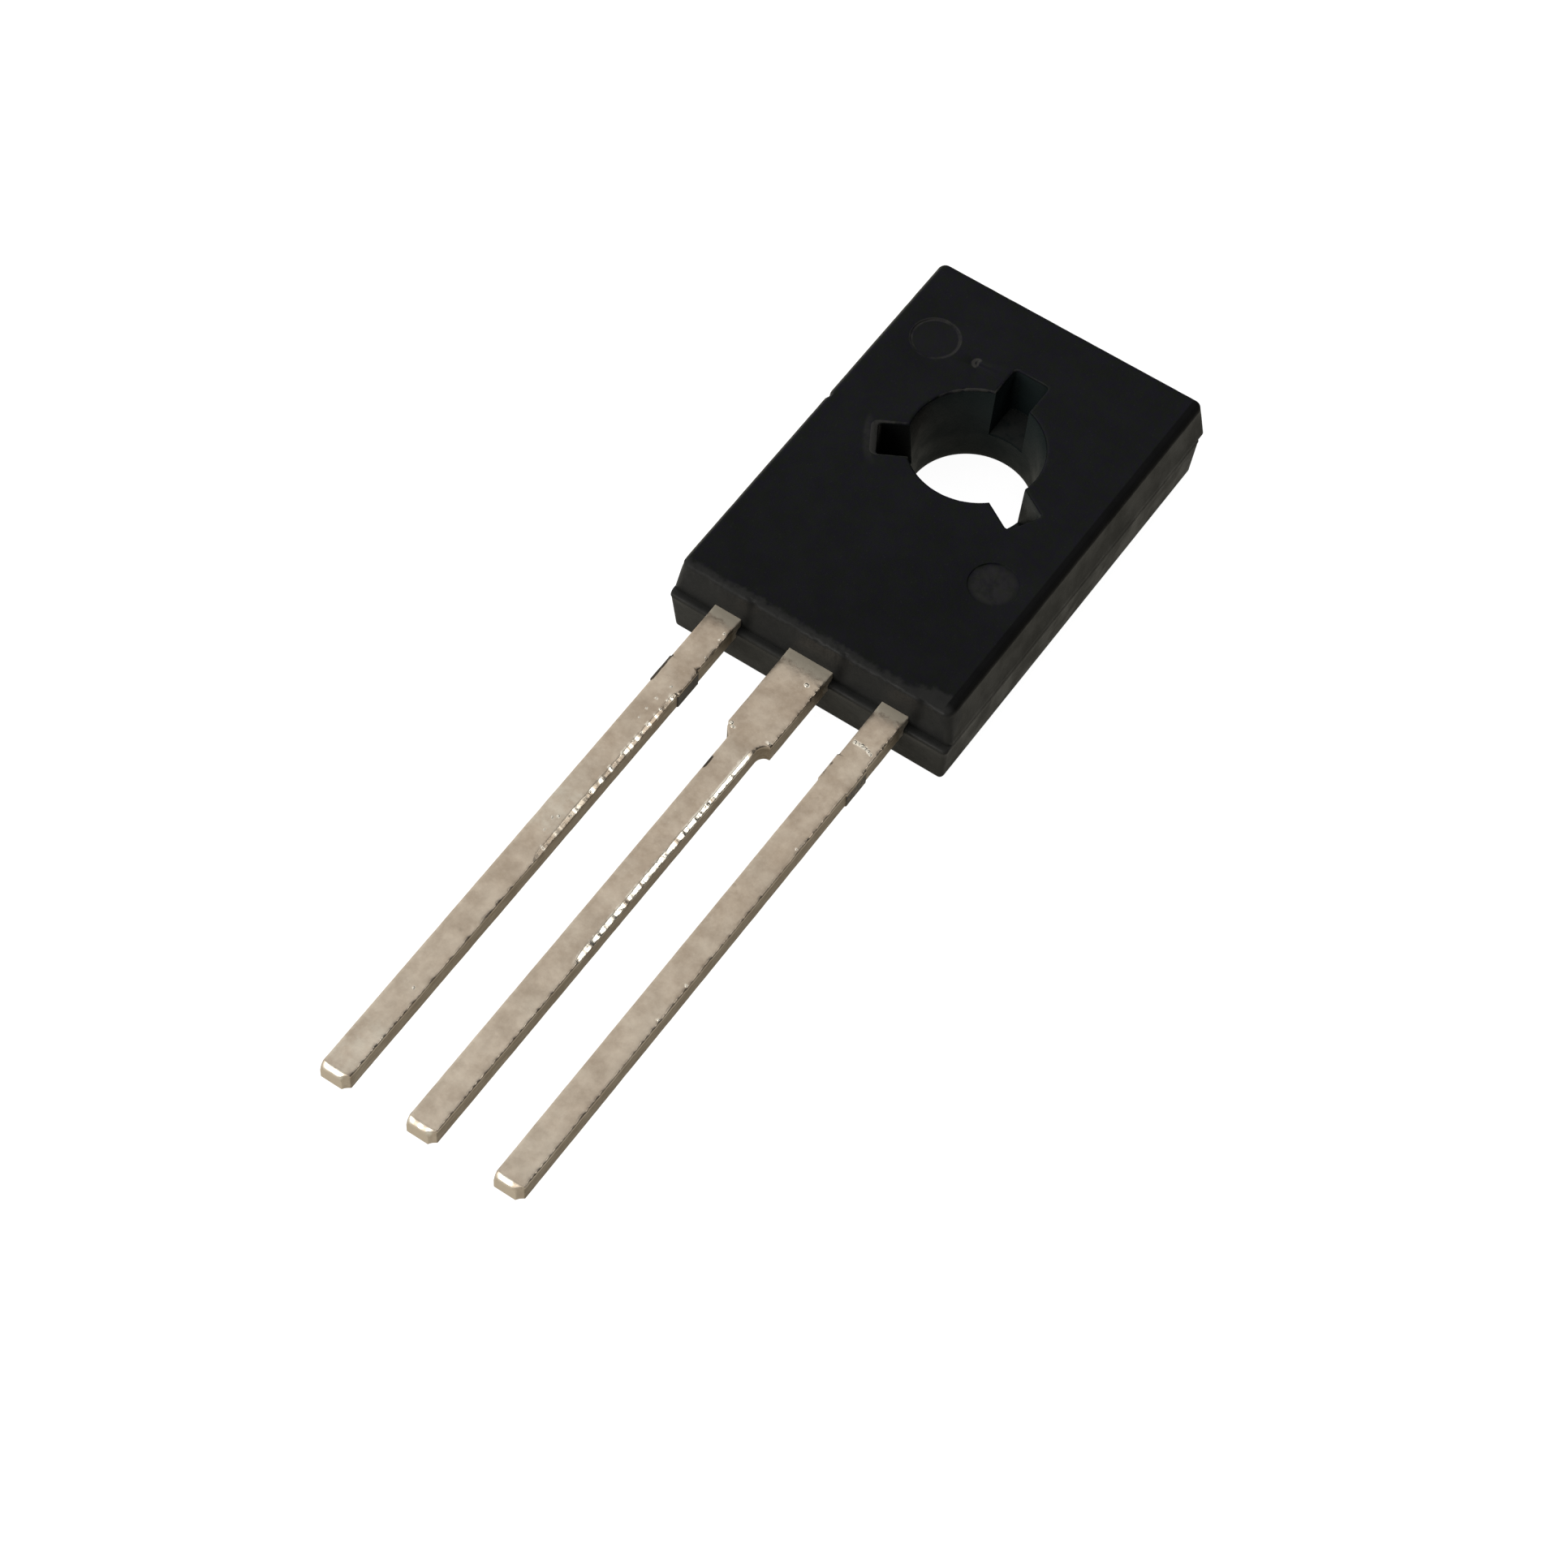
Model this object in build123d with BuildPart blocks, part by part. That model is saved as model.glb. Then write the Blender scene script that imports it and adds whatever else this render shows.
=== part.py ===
# Flat power transistor: an epoxy moulding round a collector header, two posts, a chip and its two wires.
# Millimetres. The origin is on the axis of the screw hole, in the plane of the back.
# +Z leaves the front face and +Y points away from the leads.
import os

from build123d import *

# Moulded body
body_width = 7.60  # across the parting line
body_length = 11.06  # along the parting line
body_thickness = 2.36
parting_height = 1.30  # where the two halves of the mould met
hole_to_far_end = 4.25
front_side_inset = 0.15  # draft of the front half's long sides
front_end_inset = 0.05  # draft of its two ends
back_side_inset = 0.10  # draft of the back half's long sides
back_lead_inset = 0.12  # draft of its end at the leads
back_far_inset = 0.04  # draft of its far end
mould_offset = 0.19  # the back half sits this far towards the leads
parting_corner_radius = 0.12
front_corner_radius = 0.22
front_edge_radius = 0.13
back_edge_radius = 0.10
cut_overrun = 1.0

# Screw hole, lined by the moulding, and the three notches round it
bore_diameter = 3.04  # from the back up to the floor of the notches
front_bore_diameter = 3.28  # at the front face
notch_count = 3
notch_reach = 2.45  # from the hole's axis to the outer end
notch_width = 0.93
notch_floor = 0.88  # above the back
notch_corner_radius = 0.12

# Ejector pin marks on the front face
mark_diameter = 1.22
mark_depth = 0.03
left_mark_x = -2.51
left_mark_y = 2.10
right_mark_x = 2.48
right_mark_y = -3.11

# Leads
lead_pitch = 2.29
lead_width = 0.73
lead_thickness = 0.52
lead_height = 1.03  # underside of the leads above the back
lead_free_length = 14.76  # from the moulding to the tip
tip_chamfer = 0.12  # corner broken on the right of each tip
tip_roll_radius = 0.14  # upper edge rolled over by the cutter
dam_bar_start = 1.72  # from the moulding to the sheared dam bar
dam_bar_width = 0.80
dam_bar_stub = 0.03  # what the shear left standing on each side

# Collector header, neck and shoulder
header_width = 5.40
header_far_margin = 1.40  # moulding beyond the header at the far end
header_lead_margin = 1.81  # moulding beyond the header at the lead end
header_thickness = 0.70
header_corner_radius = 0.40
header_bore_diameter = 3.80  # wider than the screw hole, so that the moulding can line it
lock_width = 0.30  # rim that the moulding grips
lock_height = 0.30
shoulder_width = 1.20
shoulder_length = 2.49  # from the moulding
shoulder_taper = 0.26
shoulder_corner_radius = 0.25
neck_landing = 0.30  # level run of the neck at each end
neck_root = 0.41  # where the neck meets the level lead, inside the moulding
neck_bend_radius = 0.30

# Emitter and base posts inside the moulding
post_width = 1.50
post_length = 1.25
post_corner_radius = 0.20
post_depth = 1.72  # how far a post reaches into the moulding

# Chip, solder and bond wires
die_size = 1.60
die_thickness = 0.24
solder_thickness = 0.04
solder_margin = 0.12
wire_diameter = 0.18
wire_loop = 0.40  # above the posts
wire_bend_share = 0.70  # bend radius, as a share of the loop's height
wire_lean_share = 0.25  # how far each leg leans, as a share of the span
foot_length = 0.46
foot_width = 0.30
foot_thickness = 0.06
pad_shares = (0.22, 0.16)  # a bond's place on the chip, as a share of its size

# Places that follow from the sizes above
lead_end = hole_to_far_end - body_length
body_middle = (hole_to_far_end + lead_end) / 2
back_middle = body_middle - mould_offset
tip_end = lead_end - lead_free_length
lead_top = lead_height + lead_thickness
header_far_end = hole_to_far_end - header_far_margin
header_lead_end = lead_end + header_lead_margin
header_length = header_far_end - header_lead_end
header_middle = (header_far_end + header_lead_end) / 2
notch_height = body_thickness - notch_floor
die_middle = (header_lead_end - header_bore_diameter / 2) / 2
die_bottom = header_thickness + solder_thickness
die_top = die_bottom + die_thickness
post_middle = lead_end + post_depth - post_length / 2


# Outline of a lead's tip, from its left edge round to its right edge
def tip_points(middle):
    left = middle - lead_width / 2
    right = middle + lead_width / 2
    return [
        (left, tip_end),
        (right - tip_chamfer, tip_end),
        (right, tip_end + tip_chamfer),
    ]


# Upper edge across a lead's tip, which the cutter rolled over
def tip_edge(lead):
    return lead.edges().filter_by(Axis.X).group_by(Axis.Y)[0].sort_by(Axis.Z)[-1]


# Header plate, neck, shoulder and lead, stamped and formed from one strip
with BuildPart() as collector_lead:
    with BuildSketch():
        with Locations((0, header_middle)):
            RectangleRounded(header_width - 2 * lock_width, header_length - 2 * lock_width, header_corner_radius)
    extrude(amount=lock_height)
    with BuildSketch(Plane.XY.offset(lock_height)):
        with Locations((0, header_middle)):
            RectangleRounded(header_width, header_length, header_corner_radius)
    extrude(amount=header_thickness - lock_height)
    Hole(header_bore_diameter / 2)

    # The neck climbs from the header to the height of the leads
    low = header_thickness - lead_thickness / 2
    high = lead_height + lead_thickness / 2
    inner_end = lead_end + neck_root
    with BuildLine(Plane.YZ) as neck_path:
        FilletPolyline(
            (header_lead_end + neck_landing, low),
            (header_lead_end - neck_landing, low),
            (inner_end + neck_landing, high),
            (inner_end - neck_landing, high),
            radius=neck_bend_radius,
        )
    with BuildSketch(Plane(neck_path.line @ 0, x_dir=(1, 0, 0), z_dir=neck_path.line % 0)):
        Rectangle(shoulder_width, lead_thickness)
    sweep(path=neck_path.line)

    # Shoulder and lead: a straight taper on the left, a hollow curve on the right
    shoulder_end = lead_end - shoulder_length
    taper_end = shoulder_end - shoulder_taper
    with BuildSketch(Plane.XY.offset(lead_height)):
        with BuildLine():
            Polyline(
                (shoulder_width / 2, shoulder_end),
                (shoulder_width / 2, inner_end),
                (-shoulder_width / 2, inner_end),
                (-shoulder_width / 2, shoulder_end),
                (-lead_width / 2, taper_end),
                *tip_points(0),
                (lead_width / 2, taper_end),
            )
            TangentArc((lead_width / 2, taper_end), (shoulder_width / 2, shoulder_end), tangent=(0, 1))
        make_face()
    extrude(amount=lead_thickness)
    shoulder_corner = (-shoulder_width / 2, shoulder_end, lead_height)
    fillet(collector_lead.edges().filter_by(Axis.Z).sort_by_distance(shoulder_corner)[0], shoulder_corner_radius)
    fillet(tip_edge(collector_lead), tip_roll_radius)


# Outer lead with its post inside the moulding and the stubs of the sheared dam bar, side -1 left or 1 right
def outer_lead(side):
    middle = side * lead_pitch
    dam_bar_middle = lead_end - dam_bar_start - dam_bar_width / 2
    with BuildPart() as lead:
        with BuildSketch(Plane.XY.offset(lead_height)):
            with BuildLine():
                Polyline(
                    (middle - lead_width / 2, post_middle),
                    *tip_points(middle),
                    (middle + lead_width / 2, post_middle),
                    close=True,
                )
            make_face()
            with Locations((middle, dam_bar_middle)):
                Rectangle(lead_width + 2 * dam_bar_stub, dam_bar_width)
            with Locations((middle, post_middle)):
                RectangleRounded(post_width, post_length, post_corner_radius)
        extrude(amount=lead_thickness)
        fillet(tip_edge(lead), tip_roll_radius)
    return lead


emitter_lead = outer_lead(-1)
base_lead = outer_lead(1)

# Solder layer and chip, on the header between the hole and the neck
with BuildPart() as die_solder:
    with BuildSketch(Plane.XY.offset(header_thickness)):
        with Locations((0, die_middle)):
            Rectangle(die_size + 2 * solder_margin, die_size + 2 * solder_margin)
    extrude(amount=solder_thickness)
    add(collector_lead.part, mode=Mode.SUBTRACT)  # the solder ran only where the metal lets it

with BuildPart() as silicon_die:
    with BuildSketch(Plane.XY.offset(die_bottom)):
        with Locations((0, die_middle)):
            Rectangle(die_size, die_size)
    extrude(amount=die_thickness)


# Round wire from the chip up and over to a post, with a flattened foot at each end that sits on the metal
def bond_wire(side, post):
    across_share, along_share = pad_shares
    start = Vector(side * die_size * across_share, die_middle - die_size * along_share, die_top)
    end = Vector(side * lead_pitch, post_middle, lead_top)
    peak = lead_top + wire_loop
    span = Vector(end.X - start.X, end.Y - start.Y, 0)
    lean = span * wire_lean_share
    first_bend = Vector(start.X, start.Y, peak) + lean
    second_bend = Vector(end.X, end.Y, peak) - lean
    with BuildPart() as wire:
        with BuildLine() as route:
            FilletPolyline(
                start - (first_bend - start).normalized() * wire_diameter,
                first_bend,
                second_bend,
                end - (second_bend - end).normalized() * wire_diameter,
                radius=wire_bend_share * wire_loop,
            )
        with BuildSketch(Plane(route.line @ 0, z_dir=route.line % 0)):
            Circle(wire_diameter / 2)
        sweep(path=route.line)
        for place in (start, end):
            with BuildSketch(Plane(place, x_dir=span, z_dir=(0, 0, 1))):
                Rectangle(foot_length, foot_width)
            extrude(amount=foot_thickness)
        for bonded in (silicon_die, post):
            add(bonded.part, mode=Mode.SUBTRACT)
    return wire


emitter_bond_wire = bond_wire(-1, emitter_lead)
base_bond_wire = bond_wire(1, base_lead)

# Epoxy moulding, drawn as two drafted halves and then opened for the hole and for what it holds
with BuildPart() as moulded_body:
    with BuildSketch(Plane.XY.offset(parting_height)):
        with Locations((0, body_middle)):
            RectangleRounded(body_width, body_length, parting_corner_radius)
    with BuildSketch(Plane.XY.offset(body_thickness)):
        with Locations((0, body_middle)):
            RectangleRounded(
                body_width - 2 * front_side_inset, body_length - 2 * front_end_inset, front_corner_radius
            )
    loft(ruled=True)
    fillet(moulded_body.faces().sort_by(Axis.Z)[-1].edges(), front_edge_radius)

    with BuildSketch():
        with Locations((0, back_middle + (back_lead_inset - back_far_inset) / 2)):
            RectangleRounded(
                body_width - 2 * back_side_inset,
                body_length - back_lead_inset - back_far_inset,
                parting_corner_radius,
            )
    with BuildSketch(Plane.XY.offset(parting_height)):
        with Locations((0, back_middle)):
            RectangleRounded(body_width, body_length, parting_corner_radius)
    loft(ruled=True)
    fillet(moulded_body.faces().sort_by(Axis.Z)[0].edges(), back_edge_radius)

    # Hole: straight up to the floor of the notches, then widening to the front face
    with BuildSketch(Plane.XZ):
        with BuildLine():
            Polyline(
                (0, -cut_overrun),
                (bore_diameter / 2, -cut_overrun),
                (bore_diameter / 2, notch_floor),
                (front_bore_diameter / 2, body_thickness),
                (front_bore_diameter / 2, body_thickness + cut_overrun),
                (0, body_thickness + cut_overrun),
                close=True,
            )
        make_face()
    revolve(axis=Axis.Z, mode=Mode.SUBTRACT)

    # Notches, which stop a little above the header
    with BuildSketch(Plane.XY.offset(notch_floor)):
        with PolarLocations(notch_reach / 2, notch_count, start_angle=90):
            RectangleRounded(notch_reach, notch_width, notch_corner_radius)
    extrude(amount=notch_height + cut_overrun, mode=Mode.SUBTRACT)

    # Ejector pin marks
    with BuildSketch(Plane.XY.offset(body_thickness - mark_depth)):
        with Locations((left_mark_x, left_mark_y), (right_mark_x, right_mark_y)):
            Circle(mark_diameter / 2)
    extrude(amount=mark_depth + cut_overrun, mode=Mode.SUBTRACT)

    # Room for every piece that the epoxy flowed round
    for held in (collector_lead, emitter_lead, base_lead, die_solder, silicon_die, emitter_bond_wire, base_bond_wire):
        add(held.part, mode=Mode.SUBTRACT)

pieces = {
    "moulded_body": moulded_body,
    "collector_lead": collector_lead,
    "emitter_lead": emitter_lead,
    "base_lead": base_lead,
    "die_solder": die_solder,
    "silicon_die": silicon_die,
    "emitter_bond_wire": emitter_bond_wire,
    "base_bond_wire": base_bond_wire,
}
os.makedirs("parts", exist_ok=True)
for name, piece in pieces.items():
    piece.part.label = name
    export_step(piece.part, f"parts/{name}.step")
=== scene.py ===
import math

import bmesh
import bpy
from mathutils import Matrix, Vector, noise


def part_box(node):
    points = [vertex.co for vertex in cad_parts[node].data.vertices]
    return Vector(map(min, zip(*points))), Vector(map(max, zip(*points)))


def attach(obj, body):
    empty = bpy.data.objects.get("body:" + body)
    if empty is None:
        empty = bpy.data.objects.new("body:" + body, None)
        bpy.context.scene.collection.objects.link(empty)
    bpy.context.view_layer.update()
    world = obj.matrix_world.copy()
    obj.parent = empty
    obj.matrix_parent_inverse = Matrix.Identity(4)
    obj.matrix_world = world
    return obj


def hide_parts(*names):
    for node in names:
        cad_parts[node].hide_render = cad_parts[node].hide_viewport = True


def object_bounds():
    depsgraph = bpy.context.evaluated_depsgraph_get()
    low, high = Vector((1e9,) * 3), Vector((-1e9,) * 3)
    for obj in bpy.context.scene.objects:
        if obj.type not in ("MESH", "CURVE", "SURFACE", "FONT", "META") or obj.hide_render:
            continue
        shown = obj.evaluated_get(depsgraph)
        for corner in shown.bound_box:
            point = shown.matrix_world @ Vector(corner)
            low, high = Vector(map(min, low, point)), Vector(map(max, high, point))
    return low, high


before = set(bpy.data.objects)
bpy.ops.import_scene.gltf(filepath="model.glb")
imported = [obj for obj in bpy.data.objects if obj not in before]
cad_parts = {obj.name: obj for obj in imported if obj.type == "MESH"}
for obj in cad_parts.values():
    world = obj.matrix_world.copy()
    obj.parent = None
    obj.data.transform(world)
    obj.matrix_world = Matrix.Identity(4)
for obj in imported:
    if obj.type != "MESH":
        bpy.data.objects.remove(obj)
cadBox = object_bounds()
print("frame loaded:", ", ".join(sorted(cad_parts)))

# meshes are drawn in millimetres and brought to metres when a piece is finished
toMetres = Matrix.Scale(0.001, 4)


def nodeBox(node):
    low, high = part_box(node)
    return low * 1000, high * 1000


def ripple(x, y, z, size, seed=0.0):
    return noise.noise(Vector((x / size + seed, y / size - seed, z / size + 2.3 * seed)))


def ease(value, low, high):
    share = min(max((value - low) / (high - low), 0.0), 1.0)
    return share * share * (3 - 2 * share)


def hump(value, place, width):
    return math.exp(-(((value - place) / width) ** 2))


def addLoop(bm, points):
    return [bm.verts.new(point) for point in points]


def bridge(bm, loopA, loopB):
    count = len(loopA)
    for i in range(count):
        j = (i + 1) % count
        bm.faces.new((loopA[i], loopA[j], loopB[j], loopB[i]))


def bridgeRows(bm, rows):
    loops = [addLoop(bm, row) for row in rows]
    for loopA, loopB in zip(loops, loops[1:]):
        bridge(bm, loopA, loopB)
    return loops


# fills the flat between a border and the openings in it
def fillFlat(bm, *loops):
    edges = []
    for loop in loops:
        for i, vert in enumerate(loop):
            other = loop[(i + 1) % len(loop)]
            edges.append(bm.edges.get((vert, other)) or bm.edges.new((vert, other)))
    bmesh.ops.triangle_fill(bm, use_beauty=True, edges=edges)


# rounded rectangle, counter-clockwise, always with the same number of points for the same counts
def roundedLoop(x0, x1, y0, y1, radius, z, perEnd, perSide, perCorner):
    corners = [
        (x1 - radius, y0 + radius, -90),
        (x1 - radius, y1 - radius, 0),
        (x0 + radius, y1 - radius, 90),
        (x0 + radius, y0 + radius, 180),
    ]

    def arcPoint(corner, angle):
        turn = math.radians(angle)
        return Vector((corner[0] + radius * math.cos(turn), corner[1] + radius * math.sin(turn), z))

    points = []
    for i, corner in enumerate(corners):
        start = corner[2]
        points += [arcPoint(corner, start + 90 * step / perCorner) for step in range(perCorner + 1)]
        count = perEnd if i % 2 else perSide
        finish = arcPoint(corners[(i + 1) % 4], start + 90)
        last = points[-1].copy()
        points += [last.lerp(finish, step / count) for step in range(1, count)]
    return points


# meshes from rows of points become objects here, still in millimetres
def looseObject(bm, name):
    bmesh.ops.recalc_face_normals(bm, faces=bm.faces)
    mesh = bpy.data.meshes.new(name)
    bm.to_mesh(mesh)
    bm.free()
    made = bpy.data.objects.new(name, mesh)
    bpy.context.scene.collection.objects.link(made)
    return made


def combine(piece, others, operation):
    for other in others:
        step = piece.modifiers.new("combine", "BOOLEAN")
        step.operation = operation
        step.solver = "EXACT"
        step.object = other
    settled = piece.evaluated_get(bpy.context.evaluated_depsgraph_get())
    mesh = bpy.data.meshes.new_from_object(settled)
    piece.modifiers.clear()
    piece.data = mesh
    for other in others:
        bpy.data.objects.remove(other)


def paintPoints(piece, name, amount):
    mesh = piece.data
    layer = mesh.attributes.new(name, "FLOAT", "POINT")
    layer.data.foreach_set("value", [amount(vert.co) for vert in mesh.vertices])


def dress(piece, *finishes):
    piece.data.materials.clear()
    for finish in finishes:
        piece.data.materials.append(finish)


def settle(piece, node, sharpAngle):
    piece.data.transform(toMetres)
    piece.data.shade_smooth()
    piece.data.set_sharp_from_angle(angle=math.radians(sharpAngle))
    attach(piece, "root")
    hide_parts(node)
    print(piece.name, "done,", len(piece.data.polygons), "faces")


# shader helpers

def addNode(tree, kind, inputs=None, **settings):
    made = tree.nodes.new("ShaderNode" + kind)
    for key, value in settings.items():
        setattr(made, key, value)
    for key, value in (inputs or {}).items():
        if isinstance(value, bpy.types.NodeSocket):
            tree.links.new(value, made.inputs[key])
        else:
            made.inputs[key].default_value = value
    return made


def sums(tree, operation, first, second):
    return addNode(tree, "Math", {0: first, 1: second}, operation=operation).outputs[0]


def product(tree, first, second):
    return sums(tree, "MULTIPLY", first, second)


def larger(tree, first, second):
    return sums(tree, "MAXIMUM", first, second)


def distanceTo(tree, flat, spot):
    return addNode(tree, "VectorMath", {0: flat, 1: (*spot, 0)}, operation="DISTANCE").outputs["Value"]


def cloudNoise(tree, place, size, detail, roughness):
    scale = sums(tree, "DIVIDE", 1.0, size)
    inputs = {"Vector": place, "Scale": scale, "Detail": detail, "Roughness": roughness}
    return addNode(tree, "TexNoise", inputs).outputs["Fac"]


def blendColour(tree, mask, under, over):
    made = addNode(tree, "Mix", {0: mask, 6: under, 7: over}, data_type="RGBA")
    return made.outputs[2]


def stretchRange(tree, value, fromLow, fromHigh, toLow=0.0, toHigh=1.0, kind="SMOOTHSTEP"):
    inputs = {0: value, 1: fromLow, 2: fromHigh, 3: toLow, 4: toHigh}
    return addNode(tree, "MapRange", inputs, interpolation_type=kind).outputs[0]


def newGroup(name, inputs, outputs):
    tree = bpy.data.node_groups.new(name, "ShaderNodeTree")
    kinds = {"v": "NodeSocketVector", "f": "NodeSocketFloat", "c": "NodeSocketColor"}
    for label, kind in inputs:
        tree.interface.new_socket(label, in_out="INPUT", socket_type=kinds[kind])
    for label, kind in outputs:
        tree.interface.new_socket(label, in_out="OUTPUT", socket_type=kinds[kind])
    return tree, tree.nodes.new("NodeGroupInput").outputs, tree.nodes.new("NodeGroupOutput").inputs


def useGroup(tree, group, **inputs):
    made = tree.nodes.new("ShaderNodeGroup")
    made.node_tree = group
    for key, value in inputs.items():
        if isinstance(value, bpy.types.NodeSocket):
            tree.links.new(value, made.inputs[key])
        else:
            made.inputs[key].default_value = value
    return made.outputs


# two colours in soft patches
def makePatchyTint():
    tree, given, put = newGroup(
        "patchyTint",
        [("Place", "v"), ("Size", "f"), ("Contrast", "f"), ("Dark", "c"), ("Light", "c")],
        [("Colour", "c"), ("Mask", "f")],
    )
    cloud = cloudNoise(tree, given["Place"], given["Size"], 5.0, 0.6)
    low = sums(tree, "SUBTRACT", 0.5, given["Contrast"])
    high = sums(tree, "ADD", 0.5, given["Contrast"])
    mask = stretchRange(tree, cloud, low, high)
    tree.links.new(mask, put["Mask"])
    tree.links.new(blendColour(tree, mask, given["Dark"], given["Light"]), put["Colour"])
    return tree


# fine even roughness of a surface, with rare flecks
def makeFineGrain():
    tree, given, put = newGroup(
        "fineGrain", [("Place", "v"), ("Size", "f"), ("Rarity", "f")], [("Height", "f"), ("Fleck", "f")]
    )
    scale = sums(tree, "DIVIDE", 1.0, given["Size"])
    grain = cloudNoise(tree, given["Place"], given["Size"], 3.0, 0.55)
    cells = addNode(tree, "TexVoronoi", {"Vector": given["Place"], "Scale": scale, "Randomness": 1.0})
    pick = addNode(tree, "SeparateColor", {0: cells.outputs["Color"]}).outputs[0]
    chosen = stretchRange(tree, pick, given["Rarity"], 1.0)
    near = stretchRange(tree, cells.outputs["Distance"], 0.0, 0.45, 1.0, 0.0)
    tree.links.new(grain, put["Height"])
    tree.links.new(product(tree, chosen, near), put["Fleck"])
    return tree


# strip that is full at one coordinate and fades out to both sides
def makeEdgeBand():
    tree, given, put = newGroup(
        "edgeBand", [("Along", "f"), ("Middle", "f"), ("Width", "f")], [("Mask", "f")]
    )
    offset = sums(tree, "SUBTRACT", given["Along"], given["Middle"])
    away = addNode(tree, "Math", {0: offset}, operation="ABSOLUTE")
    share = sums(tree, "DIVIDE", away.outputs[0], given["Width"])
    tree.links.new(stretchRange(tree, share, 0.35, 1.0, 1.0, 0.0), put["Mask"])
    return tree


# breaks a smooth amount into ragged rubbed places
def makeRubbed():
    tree, given, put = newGroup("rubbed", [("Place", "v"), ("Amount", "f"), ("Size", "f")], [("Mask", "f")])
    cloud = cloudNoise(tree, given["Place"], given["Size"], 6.0, 0.68)
    level = sums(tree, "ADD", cloud, sums(tree, "SUBTRACT", given["Amount"], 1.0))
    tree.links.new(stretchRange(tree, level, 0.28, 0.62), put["Mask"])
    return tree


# lines left by rolling and drawing, along the leads
def makeDrawnLines():
    tree, given, put = newGroup(
        "drawnLines", [("Place", "v"), ("Size", "f"), ("Stretch", "f")], [("Height", "f")]
    )
    squeeze = addNode(tree, "CombineXYZ", {0: 1.0, 1: sums(tree, "DIVIDE", 1.0, given["Stretch"]), 2: 1.0})
    flat = addNode(tree, "VectorMath", {0: given["Place"], 1: squeeze.outputs[0]}, operation="MULTIPLY")
    lines = cloudNoise(tree, flat.outputs[0], given["Size"], 4.0, 0.6)
    tree.links.new(lines, put["Height"])
    return tree


patchyTint = makePatchyTint()
fineGrain = makeFineGrain()
edgeBand = makeEdgeBand()
rubbed = makeRubbed()
drawnLines = makeDrawnLines()
print("shader groups made")


def bandMask(tree, along, middle, width):
    return useGroup(tree, edgeBand, Along=along, Middle=middle, Width=width)["Mask"]


def raggedMask(tree, place, amount, size):
    return useGroup(tree, rubbed, Place=place, Amount=amount, Size=size)["Mask"]


def newFinish(name):
    material = bpy.data.materials.new(name)
    material.use_nodes = True
    tree = material.node_tree
    tree.nodes.clear()
    shader = addNode(tree, "BsdfPrincipled")
    addNode(tree, "OutputMaterial", {"Surface": shader.outputs[0]})
    own = addNode(tree, "TexCoord").outputs["Object"]
    place = addNode(tree, "VectorMath", {0: own, "Scale": 1000.0}, operation="SCALE").outputs[0]
    return material, tree, shader, place


def setBump(tree, shader, *layers):
    normal = None
    for height, distance, strength in layers:
        made = addNode(tree, "Bump", {"Height": height, "Distance": distance * 0.001, "Strength": strength})
        if normal:
            tree.links.new(normal, made.inputs["Normal"])
        normal = made.outputs[0]
    tree.links.new(normal, shader.inputs["Normal"])


# moulded epoxy body

moulding = {
    "partingHeight": 1.30,
    "mouldOffset": 0.19,  # the back half sits this far towards the leads
    "frontSideInset": 0.15,
    "frontEndInset": 0.05,
    "backSideInset": 0.10,
    "backLeadInset": 0.12,
    "backFarInset": 0.04,
    "partingCorner": 0.12,
    "frontCorner": 0.22,
    "frontEdge": 0.13,
    "backEdge": 0.10,
    "boreRadius": 1.52,
    "frontBoreRadius": 1.64,
    "slotReach": 2.45,
    "slotHalfWidth": 0.465,
    "slotCorner": 0.12,
    "slotFloor": 0.88,
    "slotTurns": (90, 210, 330),  # degrees, the second is the left notch
    "slotPoints": 52,  # of the hole's outline in each notch, and on each arc between two notches
    "arcPoints": 44,
    "lip": 0.13,  # sunk end of the left notch
    "rimRadius": 0.06,
    "markRadius": 0.61,
    "markDepth": 0.03,
    "leftMark": (-2.51, 2.10),
    "rightMark": (2.48, -3.11),
    "chip": (-1.29, 2.05),  # small gouge beside the hole
    "nick": -0.75,  # dent along the left edge
    "perEnd": 190,
    "perSide": 180,
    "perCorner": 8,
    "epoxyDark": (0.0040, 0.0047, 0.0060, 1),
    "epoxyLight": (0.0064, 0.0068, 0.0062, 1),
    # pale rubbed epoxy, also used for painted light and painted highlights
    "rubbedAndLitEpoxy": (0.048, 0.047, 0.044, 1),
    # painted light: the end wall is paler where light falls on it
    "litEndEpoxy": (0.021, 0.0213, 0.0205, 1),
    "lowLitEndEpoxy": (0.028, 0.0275, 0.024, 1),
    # olive sides with painted light, paler on the upper part
    "litSideEpoxy": (0.019, 0.0185, 0.0145, 1),
    "upperLitSideEpoxy": (0.046, 0.045, 0.037, 1),
    # painted shadow to the right of each lead
    "leadShadowColour": (0.0035, 0.0035, 0.0032, 1),
    "blueEpoxy": (0.0044, 0.0038, 0.0112, 1),
    "greenEpoxy": (0.0042, 0.0070, 0.0036, 1),
    "boreEpoxy": (0.0115, 0.0185, 0.0190, 1),
    "shadeEpoxy": (0.0008, 0.0009, 0.0010, 1),
    "roughLow": 0.40,
    "roughHigh": 0.56,
    "gloss": 0.12,
}

header = {
    "width": 5.40,
    "farEnd": 2.85,
    "leadEnd": -5.00,
    "thickness": 0.70,
    "corner": 0.40,
    "boreRadius": 1.90,  # the epoxy lines it
    "lockWidth": 0.30,
    "lockHeight": 0.30,
    "edgeRadius": 0.03,
    "dull": (0.40, 0.36, 0.31, 1),
    "bright": (0.58, 0.53, 0.46, 1),
    "stain": (0.26, 0.22, 0.17, 1),
}

bodyLow, bodyHigh = nodeBox("moulded_body")
frontTop = bodyHigh.z
halfWidth = bodyHigh.x
farEnd = bodyHigh.y
leadEnd = bodyLow.y + moulding["mouldOffset"]
parting = moulding["partingHeight"]


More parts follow.
